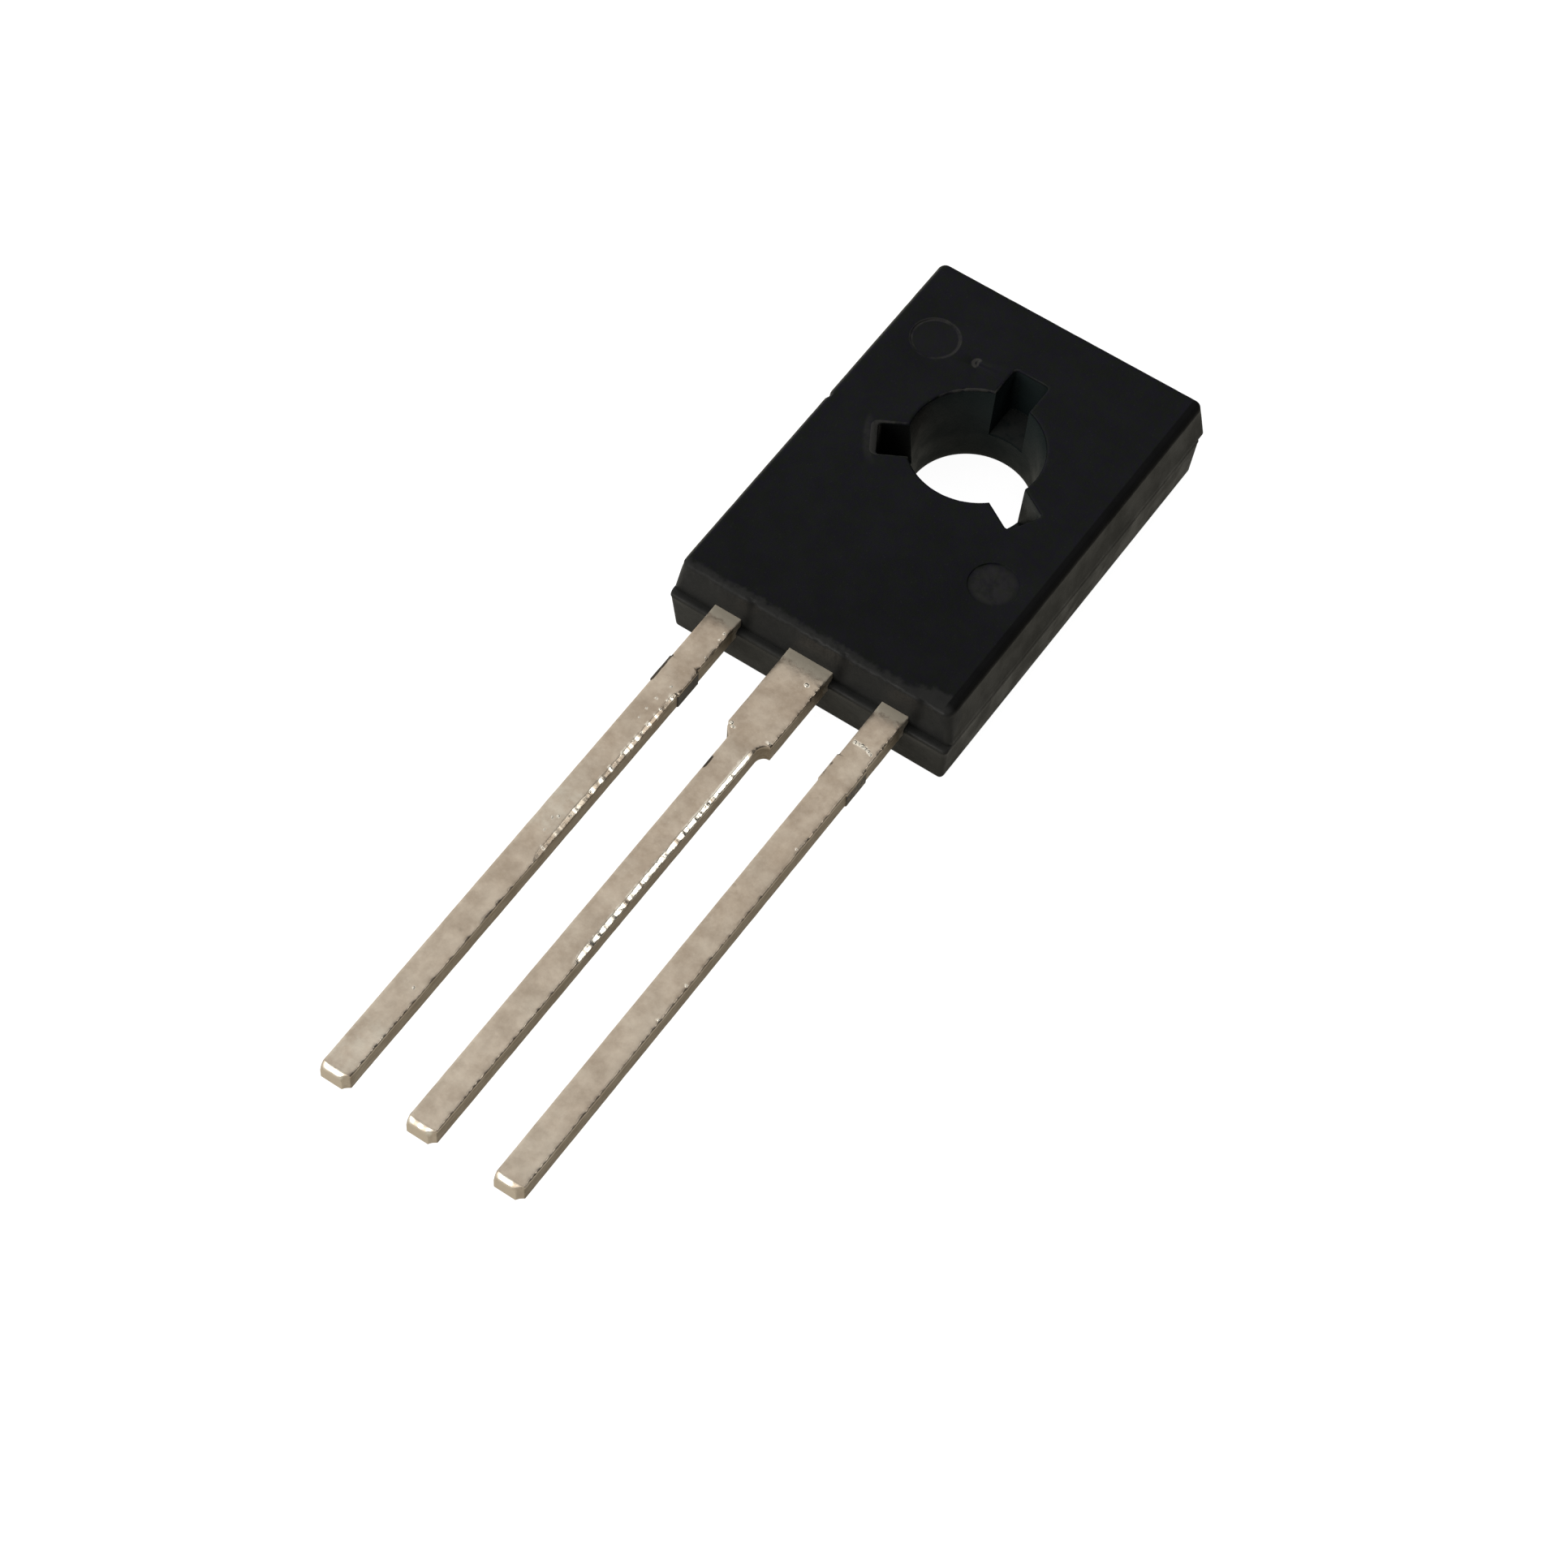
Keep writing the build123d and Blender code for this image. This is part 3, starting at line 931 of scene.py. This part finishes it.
# crown and ripples of the tin skin, thickest along the right upper edge
def tinSkin(point, shape, seed, liveliness):
    x, y, z = point
    x0, x1, z0, z1 = shape
    if y > leadEnd - 0.02:
        return point
    moved = point.copy()
    off = (2 * x - x0 - x1) / (x1 - x0)
    moved.z -= 0.010 * off * off * ease(z, z1 - 0.12, z1)
    # the corners of the tip are worn round
    moved.y += 0.06 * off ** 4 * ease(y, tipEnd + 0.25, tipEnd + 0.02)
    moved.z += 0.003 * ripple(x, y, z, 0.55, seed) + 0.0012 * ripple(x, y, z, 0.17, seed + 1)
    moved.x += 0.004 * ripple(0, y, z, 0.45, seed + 2) + 0.002 * ripple(0, y, z, 0.13, seed + 4)
    atEdge = hump(x, x1 - 0.06, 0.05) * hump(z, z1 - 0.04, 0.05)
    bead = ripple(0, y, 0, 0.13, seed + 6) + 0.6 * ripple(0, y, 0, 0.055, seed + 8)
    saw = hump(x, x1, 0.05) * hump(z, z1, 0.05) * max(ripple(0, y, 0, 0.08, seed + 9) + 0.1, 0)
    moved.z -= 0.03 * saw
    moved.x -= 0.03 * saw
    moved.z += 0.010 * liveliness * atEdge * bead
    moved.x += 0.012 * liveliness * atEdge * bead
    return moved


def tinDrops(spots):
    bm = bmesh.new()
    for x, y, radius in spots:
        flat = Matrix.Translation((x, y, lead["top"] - 0.006)) @ Matrix.Diagonal((1, 1, 0.45, 1))
        bmesh.ops.create_icosphere(bm, subdivisions=3, radius=radius, matrix=flat)
    return looseObject(bm, "tin_drops")


# how far the fall of an edge is worn out at one place along a lead
def edgeShare(y, run=None):
    share = ease(-y, -leadEnd + 0.05, -leadEnd + 0.4) * ease(y, tipEnd + 0.02, tipEnd + 0.3)
    if run:
        inside = ease(y, run[1] - 0.4, run[1]) * ease(-y, -run[0] - 0.2, -run[0] + 0.1)
        grown = 0.55 + 0.3 * ease(-y, -run[0] + 0.5, -run[0] + 3.0) + 0.15 * ripple(0, y, 0, 0.35, 2.0)
        share *= 0.12 + 0.88 * inside * grown
    return share


def buildStrip(name, shapeAt, middle, places, seed=0.0, liveliness=0.0, run=None, grow=0.0):
    bm = bmesh.new()
    rows = []
    for y in places:
        x0, x1, z0, z1 = shapeAt(y, middle)
        shape = (x0 - grow, x1 + grow, z0 - grow, z1 + grow)
        worn = (0.0, 0.0) if grow else (edgeShare(y), edgeShare(y, run))
        row = stripSection(*shape, lead["topEdge"], lead["bottomEdge"], y, *worn)
        if not grow:
            row = [tinSkin(point, shape, seed, liveliness) for point in row]
        rows.append(row)
    if not grow:  # the cut end, a little rounded
        x0, x1, z0, z1 = shapeAt(tipEnd, middle)
        rows.append(stripSection(x0 + 0.02, x1 - 0.02, z0 + 0.02, z1 - 0.02, 0.05, 0.03, tipEnd))
        rows.append(stripSection(x0 + 0.06, x1 - 0.06, z0 + 0.06, z1 - 0.06, 0.05, 0.03, tipEnd))
    loops = bridgeRows(bm, rows)
    bm.faces.new(loops[0])
    bm.faces.new(loops[-1])
    return looseObject(bm, name)


def buildOuterLead(name, side, seed, liveliness, run, drops):
    middle = side * lead["pitch"]
    first = lead["postMiddle"] + lead["postLength"] / 2
    extra = [
        (first, first - 0.21, 0.015),
        (first - lead["postLength"] + 0.21, first - lead["postLength"] - 0.006, 0.012),
        (lead["stubFrom"] + 0.03, lead["stubFrom"] - 0.03, 0.0075),
        (lead["stubTo"] + 0.03, lead["stubTo"] - 0.03, 0.0075),
        (tipEnd + 0.16, tipEnd + 0.02, 0.01),
    ]
    places = rowPlaces(first, tipEnd + 0.02, extra)
    strip = buildStrip(name, outerShape, middle, places, seed, liveliness, run)
    combine(strip, [tinDrops(drops)], "UNION")
    return strip


def buildHeader():
    bm = bmesh.new()
    side = header["width"] / 2
    lock = header["lockWidth"]
    edge = header["edgeRadius"]
    top = header["thickness"]

    def plateLoop(inset, z):
        outline = (-side + inset, side - inset, header["leadEnd"] + inset, header["farEnd"] - inset)
        return roundedLoop(*outline, header["corner"], z, 40, 60, 8)

    def torn(point, rough):
        out = Vector((point.x, point.y, 0)).normalized()
        return point + out * rough * (0.5 + 0.5 * ripple(point.x, point.y, 0.3 * point.z, 0.08))

    outline = [
        (0.12, top), (edge, top), (edge * 0.3, top - edge * 0.3), (0, top - edge), (0, header["lockHeight"]),
        (lock, header["lockHeight"]), (lock, edge), (lock + edge * 0.3, edge * 0.3), (lock + edge, 0),
        (lock + 0.12, 0),
    ]
    plate = bridgeRows(bm, [plateLoop(inset, z) for inset, z in outline])
    bore = header["boreRadius"]
    wall = [(bore + 0.12, top), (bore + 0.05, top), (bore + 0.015, top - 0.015), (bore, top - 0.05)]
    wall += [(bore, top - 0.05 - (top - 0.10) * step / 6) for step in range(1, 7)]
    wall += [(bore + 0.012, 0.014), (bore + 0.05, 0), (bore + 0.12, 0)]
    rows = []
    for radius, z in wall:
        row = circleLoop((0, 0), radius, z, 120)
        rough = 0.006 if 0.04 < z < 0.40 else 0.0  # torn lower part of the punched wall
        rows.append([torn(point, rough) for point in row])
    hole = bridgeRows(bm, rows)
    fillFlat(bm, plate[0], hole[0])
    fillFlat(bm, plate[-1], hole[-1])
    return looseObject(bm, "header_plate")


def buildCollector():
    first = header["leadEnd"] + 0.30
    extra = [
        (-5.2, -6.2, 0.03),
        (lead["shoulderEnd"] + 0.15, lead["taperEnd"] - 0.03, 0.01),
        (tipEnd + 0.16, tipEnd + 0.02, 0.01),
    ]
    places = rowPlaces(first, tipEnd + 0.02, extra)
    strip = buildStrip("collector_frame", collectorShape, 0.0, places, 11.0, 1.3, lead["collectorRun"])
    combine(strip, [buildHeader(), tinDrops(lead["collectorDrops"])], "UNION")
    return strip


# sheared dam bar stubs
def shearMarks(point, middle, strength):
    x, y, z = point
    if not lead["stubTo"] - 0.02 < y < lead["stubFrom"] + 0.09:
        return 0.0
    half = lead["width"] / 2
    left = ease(middle - x, half - 0.07, half - 0.02) * (0.85 + 0.5 * ripple(0, y, z, 0.2, 5.0))
    right = ease(x - middle, half - 0.02, half + 0.01) * ease(z, 1.50, 1.44)
    return strength * max(left, right)


# dark edge on the left, below the shoulder
def shoulderMarks(point):
    x, y, z = point
    if not -10.9 < y < leadEnd - 0.8:
        return 0.0
    edge = collectorShape(y, 0)[0]
    place = 1.6 * hump(y, -10.4, 0.25) + 0.8 * ease(y, -9.3, -9.1)
    return place * ease(edge - x, -0.11, -0.04) * ease(z, 1.38, 1.48)


# the tin is smooth where it ran along the right upper edge, on the drops and over the rolled tip, and there
# it also gets a painted highlight
def smoothTinAndHighlight(point, shapeAt, middle, run, cover, shine, drops):
    x, y, z = point
    if y > leadEnd - 0.3:
        return 0.0
    if z > lead["top"] - 0.03:
        if any(math.hypot(x - across, y - along) < 1.15 * size for across, along, size in drops):
            return 1.0
    x0, x1, z0, z1 = shapeAt(max(y, tipEnd), middle)
    inside = ease(y, run[1] - 0.4, run[1]) * ease(-y, -run[0], -run[0] + 0.25)
    beads = ripple(0, y, 0, 0.15, 4.0 + middle) + 0.5 * ripple(0, y, 0, 0.07, 1.0 + middle)
    beads = ease(beads + cover, -0.05, 0.15)
    ragged = x + 0.025 * ripple(0, y, 0, 0.09, 8.0)
    amount = ease(ragged, x1 - 0.14, x1 - 0.11) * ease(z, z1 - 0.095, z1 - 0.07) * beads * inside
    tip = ease(y, tipEnd + 0.16, tipEnd + 0.11) * ease(y, tipEnd + 0.01, tipEnd + 0.04)
    tip *= max(ease(half - abs(x - place), -0.04, 0.03) for place, half in shine)
    return max(amount, tip * ease(z, 1.36, 1.44))


# the punched sides of the strip are dull, and painted darker as painted shade
def flankMask(point, shapeAt, middle):
    x, y, z = point
    x0, x1, z0, z1 = shapeAt(max(y, tipEnd), middle)
    return ease(min(x - x0, x1 - x), 0.035, 0.008) * ease(z, z1 - 0.05, z1 - 0.09)


def freshEnd(point):
    return ease(point.y, tipEnd + 0.035, tipEnd + 0.015)


def paintLead(strip, shapeAt, middle, cover, owner):
    run, shine, drops = lead[owner + "Run"], lead[owner + "Shine"], lead[owner + "Drops"]
    paintPoints(strip, "bright", lambda point: smoothTinAndHighlight(point, shapeAt, middle, run, cover, shine, drops))
    paintPoints(strip, "flank", lambda point: flankMask(point, shapeAt, middle))
    paintPoints(strip, "fresh", freshEnd)


def tinFinish():
    material, tree, shader, place = newFinish("tinned_lead_finish")
    spot = addNode(tree, "SeparateXYZ", {0: place}).outputs
    along = stretchRange(tree, spot["Y"], leadEnd - 5.0, tipEnd)
    dark = blendColour(tree, along, lead["rootDark"], lead["tipDark"])
    light = blendColour(tree, along, lead["rootLight"], lead["tipLight"])
    tint = useGroup(tree, patchyTint, Place=place, Size=0.45, Contrast=0.24, Dark=dark, Light=light)
    grain = useGroup(tree, fineGrain, Place=place, Size=0.06, Rarity=0.80)
    spots = useGroup(tree, fineGrain, Place=place, Size=0.22, Rarity=0.965)["Fleck"]
    lines = useGroup(tree, drawnLines, Place=place, Size=0.05, Stretch=9.0)
    cloud = raggedMask(tree, place, 0.88, 1.5)
    colour = blendColour(tree, product(tree, cloud, 0.45), tint["Colour"], lead["greenish"])
    colour = blendColour(tree, product(tree, grain["Fleck"], 0.35), colour, lead["beadTinAndHighlight"])
    fine = useGroup(
        tree, patchyTint, Place=place, Size=0.10, Contrast=0.18,
        Dark=lead["rootDark"], Light=lead["tipLight"],
    )
    colour = blendColour(tree, 0.28, colour, fine["Colour"])
    clouds = useGroup(
        tree, patchyTint, Place=place, Size=0.75, Contrast=0.14,
        Dark=lead["cloudDark"], Light=lead["cloudLight"],
    )
    colour = blendColour(tree, 0.30, colour, clouds["Colour"])
    colour = blendColour(tree, product(tree, spots, 0.4), colour, lead["flank"])

    # frosted places on the emitter lead
    frost = bandMask(tree, spot["Y"], -13.4, 1.3)
    frost = larger(tree, frost, bandMask(tree, spot["Y"], tipEnd + 0.9, 1.4))
    frost = product(tree, frost, stretchRange(tree, spot["X"], -1.75, -1.65, 0.95, 0.0))
    frost = raggedMask(tree, place, frost, 0.38)
    colour = blendColour(tree, product(tree, frost, 0.35), colour, lead["frost"])

    # dull root, punched sides, fresh ends, sheared stubs, and bright beads with a painted highlight
    flank = addNode(tree, "Attribute", attribute_name="flank").outputs["Fac"]
    worn = stretchRange(tree, lines["Height"], 0.35, 0.65, 0.65, 1.0, "LINEAR")
    # punched sides painted dark, partly as painted shade
    colour = blendColour(tree, product(tree, flank, worn), colour, lead["flank"])
    root = stretchRange(tree, spot["Y"], leadEnd - 0.62, leadEnd - 0.10, 0.40, 1.30, "LINEAR")
    root = raggedMask(tree, place, root, 0.13)
    colour = blendColour(tree, product(tree, root, 0.9), colour, lead["rootGrey"])
    fresh = addNode(tree, "Attribute", attribute_name="fresh").outputs["Fac"]
    colour = blendColour(tree, product(tree, fresh, 0.9), colour, lead["cutEnd"])
    cut = addNode(tree, "Attribute", attribute_name="shear").outputs["Fac"]
    cut = raggedMask(tree, place, cut, 0.10)
    colour = blendColour(tree, product(tree, cut, 0.95), colour, lead["shear"])
    # painted highlight on the run, the drops and the rolled tips
    bright = addNode(tree, "Attribute", attribute_name="bright").outputs["Fac"]
    colour = blendColour(tree, product(tree, bright, 0.9), colour, lead["beadTinAndHighlight"])
    tree.links.new(colour, shader.inputs["Base Color"])

    rough = stretchRange(tree, tint["Mask"], 0.0, 1.0, lead["roughHigh"], lead["roughLow"], "LINEAR")
    dim = stretchRange(tree, spot["Y"], tipEnd + 0.12, tipEnd + 0.18, 1.0, 0.0)
    dim = product(tree, larger(tree, dim, larger(tree, cut, flank)), 0.18)
    rough = sums(tree, "ADD", rough, dim)
    rough = sums(tree, "SUBTRACT", rough, product(tree, bright, 0.16))
    tree.links.new(rough, shader.inputs["Roughness"])
    dull = larger(tree, product(tree, root, 0.85), product(tree, cut, 0.6))
    tree.links.new(sums(tree, "SUBTRACT", 1.0, dull), shader.inputs["Metallic"])
    setBump(
        tree, shader,
        (lines["Height"], 0.004, 0.30), (grain["Height"], 0.005, 0.40), (tint["Mask"], 0.006, 0.30),
    )
    return material


def headerFinish():
    material, tree, shader, place = newFinish("header_plate_finish")
    tint = useGroup(
        tree, patchyTint, Place=place, Size=0.9, Contrast=0.2, Dark=header["dull"], Light=header["bright"]
    )
    grain = useGroup(tree, fineGrain, Place=place, Size=0.06, Rarity=0.85)
    lines = useGroup(tree, drawnLines, Place=place, Size=0.045, Stretch=30.0)
    stain = raggedMask(tree, place, 0.62, 1.4)
    colour = blendColour(tree, product(tree, stain, 0.45), tint["Colour"], header["stain"])
    tree.links.new(colour, shader.inputs["Base Color"])
    rough = stretchRange(tree, lines["Height"], 0.3, 0.7, 0.30, 0.48, "LINEAR")
    tree.links.new(sums(tree, "ADD", rough, product(tree, stain, 0.1)), shader.inputs["Roughness"])
    shader.inputs["Metallic"].default_value = 1.0
    setBump(tree, shader, (lines["Height"], 0.006, 0.5), (grain["Height"], 0.004, 0.3))
    return material


epoxy = epoxyFinish()
tin = tinFinish()
plate = headerFinish()
print("finishes of the body, leads and header made")

emitterLead = buildOuterLead("emitter_leg", -1, 3.0, 0.8, lead["emitterRun"], lead["emitterDrops"])
baseLead = buildOuterLead("base_leg", 1, 17.0, 0.7, lead["baseRun"], lead["baseDrops"])
collectorLead = buildCollector()
body = buildMoulding()

# the epoxy is opened where the leads pass into it
clearance = 0.004
cutPlaces = rowPlaces(-4.70, -7.30, [(-5.2, -6.2, 0.03)])
pocketPlaces = rowPlaces(-5.09, -7.30, [(-5.09, -5.30, 0.03), (-6.13, -6.35, 0.02)])
cutters = [
    buildStrip("neck_room", collectorShape, 0.0, cutPlaces, grow=clearance),
    buildStrip("emitter_room", outerShape, -lead["pitch"], pocketPlaces, grow=clearance),
    buildStrip("base_room", outerShape, lead["pitch"], pocketPlaces, grow=clearance),
]
combine(body, cutters, "DIFFERENCE")

paintPoints(body, "wearAndShine", epoxyWearAndShine)
paintPoints(body, "leadShadow", endWallShadow)
for strip, middle, strength, cover, owner in (
    (emitterLead, -lead["pitch"], 1.5, -0.18, "emitter"),
    (baseLead, lead["pitch"], 1.0, -0.6, "base"),
):
    paintPoints(strip, "shear", lambda point: shearMarks(point, middle, strength))
    paintLead(strip, outerShape, middle, cover, owner)
paintPoints(collectorLead, "shear", shoulderMarks)
paintLead(collectorLead, collectorShape, 0.0, 0.4, "collector")

dress(body, epoxy)
dress(emitterLead, tin)
dress(baseLead, tin)
dress(collectorLead, tin, plate)
for face in collectorLead.data.polygons:
    face.material_index = 1 if face.center.y > -5.3 else 0

settle(body, "moulded_body", 40)
settle(emitterLead, "emitter_lead", 50)
settle(baseLead, "base_lead", 50)
settle(collectorLead, "collector_lead", 50)


# chip, its solder and its wires, hidden in the epoxy

inside = {
    "siliconDark": (0.022, 0.024, 0.030, 1),
    "siliconLight": (0.045, 0.048, 0.056, 1),
    "padMetal": (0.62, 0.61, 0.60, 1),
    "solderDark": (0.28, 0.27, 0.26, 1),
    "solderLight": (0.46, 0.45, 0.43, 1),
    "wireDark": (0.60, 0.60, 0.60, 1),
    "wireLight": (0.78, 0.78, 0.77, 1),
}


def siliconFinish():
    material, tree, shader, place = newFinish("silicon_finish")
    spot = addNode(tree, "SeparateXYZ", {0: place}).outputs
    tint = useGroup(
        tree, patchyTint, Place=place, Size=0.3, Contrast=0.25,
        Dark=inside["siliconDark"], Light=inside["siliconLight"],
    )
    grain = useGroup(tree, fineGrain, Place=place, Size=0.04, Rarity=0.9)
    top = stretchRange(tree, spot["Z"], 0.970, 0.978)
    fingers = addNode(tree, "Math", {0: spot["X"], 1: 0.40}, operation="PINGPONG").outputs[0]
    fingers = stretchRange(tree, fingers, 0.10, 0.13)
    inner = bandMask(tree, spot["X"], 0.0, 0.74)
    metal = product(tree, product(tree, fingers, top), stretchRange(tree, inner, 0.0, 0.1))
    colour = blendColour(tree, metal, tint["Colour"], inside["padMetal"])
    tree.links.new(colour, shader.inputs["Base Color"])
    tree.links.new(metal, shader.inputs["Metallic"])
    rough = stretchRange(tree, grain["Height"], 0.3, 0.7, 0.22, 0.40, "LINEAR")
    tree.links.new(rough, shader.inputs["Roughness"])
    setBump(tree, shader, (metal, 0.004, 0.6), (grain["Height"], 0.002, 0.3))
    return material


def softMetalFinish(name, dark, light, size, stretch, roughLow, roughHigh):
    material, tree, shader, place = newFinish(name)
    tint = useGroup(tree, patchyTint, Place=place, Size=size, Contrast=0.22, Dark=dark, Light=light)
    grain = useGroup(tree, fineGrain, Place=place, Size=0.04, Rarity=0.85)
    lines = useGroup(tree, drawnLines, Place=place, Size=0.03, Stretch=stretch)
    colour = blendColour(tree, product(tree, grain["Fleck"], 0.3), tint["Colour"], light)
    tree.links.new(colour, shader.inputs["Base Color"])
    rough = stretchRange(tree, tint["Mask"], 0.0, 1.0, roughHigh, roughLow, "LINEAR")
    tree.links.new(rough, shader.inputs["Roughness"])
    shader.inputs["Metallic"].default_value = 1.0
    setBump(tree, shader, (lines["Height"], 0.003, 0.4), (grain["Height"], 0.004, 0.4))
    return material


silicon = siliconFinish()
solder = softMetalFinish("solder_finish", inside["solderDark"], inside["solderLight"], 0.25, 1.0, 0.32, 0.5)
wire = softMetalFinish("bond_wire_finish", inside["wireDark"], inside["wireLight"], 0.2, 8.0, 0.2, 0.34)
for node, finish in (
    ("silicon_die", silicon), ("die_solder", solder), ("emitter_bond_wire", wire), ("base_bond_wire", wire)
):
    dress(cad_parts[node], finish)
print("chip, solder and wires finished")


# floor, light and camera

studio = {
    "floorSize": 1.2,
    "floorDrop": 0.00002,
    "floorColour": (0.34, 0.34, 0.34, 1),
    "floorGlow": 0.94,
    "floorMirrored": 0.36,
    "floorMirroredLeft": 0.70,
    "mirroredTint": (1.0, 0.95, 0.80, 1),
    "skyLow": (0.035, 0.035, 0.036, 1),
    "skyHigh": (0.43, 0.425, 0.42, 1),
    "skyLeft": (1.0, 0.99, 0.97, 1),
    "cameraPlace": (28.846, -55.789, 83.595),
    "cameraForward": (-0.28043, 0.46841, -0.83782),
    "cameraUp": (-0.48955, 0.68099, 0.54459),
    "lens": 101.04,
    "lampColour": (1.0, 0.98, 0.95),
    "lampAim": (0, -0.008, 0.001),
    # place in metres, width, height, watts
    "lamps": {
        "overhead": ((-0.06, 0.08, 0.19), 0.14, 0.14, 0.030),
        "front": ((-0.056, -0.17, 0.09), 0.15, 0.10, 0.21),
        "side": ((0.118, 0.086, 0.133), 0.045, 0.07, 0.03),
    },
}


def buildFloor():
    bm = bmesh.new()
    bmesh.ops.create_grid(bm, x_segments=8, y_segments=8, size=studio["floorSize"] / 2)
    mesh = bpy.data.meshes.new("floor")
    bm.to_mesh(mesh)
    bm.free()
    floor = bpy.data.objects.new("floor", mesh)
    bpy.context.scene.collection.objects.link(floor)
    floor.location.z = cadBox[0].z - studio["floorDrop"]
    material = bpy.data.materials.new("white_floor")
    material.use_nodes = True
    tree = material.node_tree
    shader = tree.nodes["Principled BSDF"]
    shader.inputs["Base Color"].default_value = studio["floorColour"]
    shader.inputs["Roughness"].default_value = 0.9
    shader.inputs["Specular IOR Level"].default_value = 0.0
    seen = addNode(tree, "LightPath").outputs
    direct = product(tree, seen["Is Camera Ray"], studio["floorGlow"])
    mirrored = larger(tree, seen["Is Glossy Ray"], seen["Is Transmission Ray"])
    across = addNode(tree, "SeparateXYZ", {0: addNode(tree, "NewGeometry").outputs["Position"]}).outputs["X"]
    level = stretchRange(tree, across, -0.012, -0.003, studio["floorMirroredLeft"], studio["floorMirrored"])
    mirrored = product(tree, mirrored, level)
    glow = blendColour(tree, seen["Is Camera Ray"], studio["mirroredTint"], (1, 1, 1, 1))
    tree.links.new(glow, shader.inputs["Emission Color"])
    tree.links.new(larger(tree, direct, mirrored), shader.inputs["Emission Strength"])
    mesh.materials.append(material)


def buildSky():
    world = bpy.data.worlds.new("studio")
    bpy.context.scene.world = world
    world.use_nodes = True
    tree = world.node_tree
    way = addNode(tree, "SeparateXYZ", {0: addNode(tree, "TexCoord").outputs["Generated"]}).outputs
    level = sums(tree, "ADD", way["Z"], product(tree, way["X"], -0.7))  # brighter on the left
    colour = blendColour(tree, stretchRange(tree, level, 0.05, 0.95), studio["skyLow"], studio["skyHigh"])
    onLeft = stretchRange(tree, way["X"], -0.78, -0.45, 1.0, 0.0)
    onLeft = product(tree, onLeft, stretchRange(tree, way["Z"], 0.0, 0.2))
    colour = blendColour(tree, onLeft, colour, studio["skyLeft"])
    tree.links.new(colour, tree.nodes["Background"].inputs["Color"])


def addLamp(name, place, width, height, power):
    data = bpy.data.lights.new(name, "AREA")
    data.shape = "RECTANGLE"
    data.size, data.size_y = width, height
    data.energy = power
    data.color = studio["lampColour"]
    lamp = bpy.data.objects.new(name, data)
    bpy.context.scene.collection.objects.link(lamp)
    lamp.location = place
    lamp.rotation_mode = "QUATERNION"
    lamp.rotation_quaternion = (Vector(studio["lampAim"]) - Vector(place)).to_track_quat("-Z", "Y")


def addCamera():
    data = bpy.data.cameras.new("camera")
    data.lens = studio["lens"]
    data.sensor_width = 36
    data.clip_start, data.clip_end = 0.001, 10
    camera = bpy.data.objects.new("camera", data)
    bpy.context.scene.collection.objects.link(camera)
    back = -Vector(studio["cameraForward"]).normalized()
    right = Vector(studio["cameraUp"]).cross(back).normalized()
    up = back.cross(right)
    turned = Matrix((right, up, back)).transposed().to_4x4()
    camera.matrix_world = Matrix.Translation(Vector(studio["cameraPlace"]) * 0.001) @ turned
    bpy.context.scene.camera = camera


buildFloor()
buildSky()
for name, lamp in studio["lamps"].items():
    addLamp(name, *lamp)
addCamera()
bpy.context.scene.view_settings.view_transform = "Standard"
print("floor, light and camera placed")
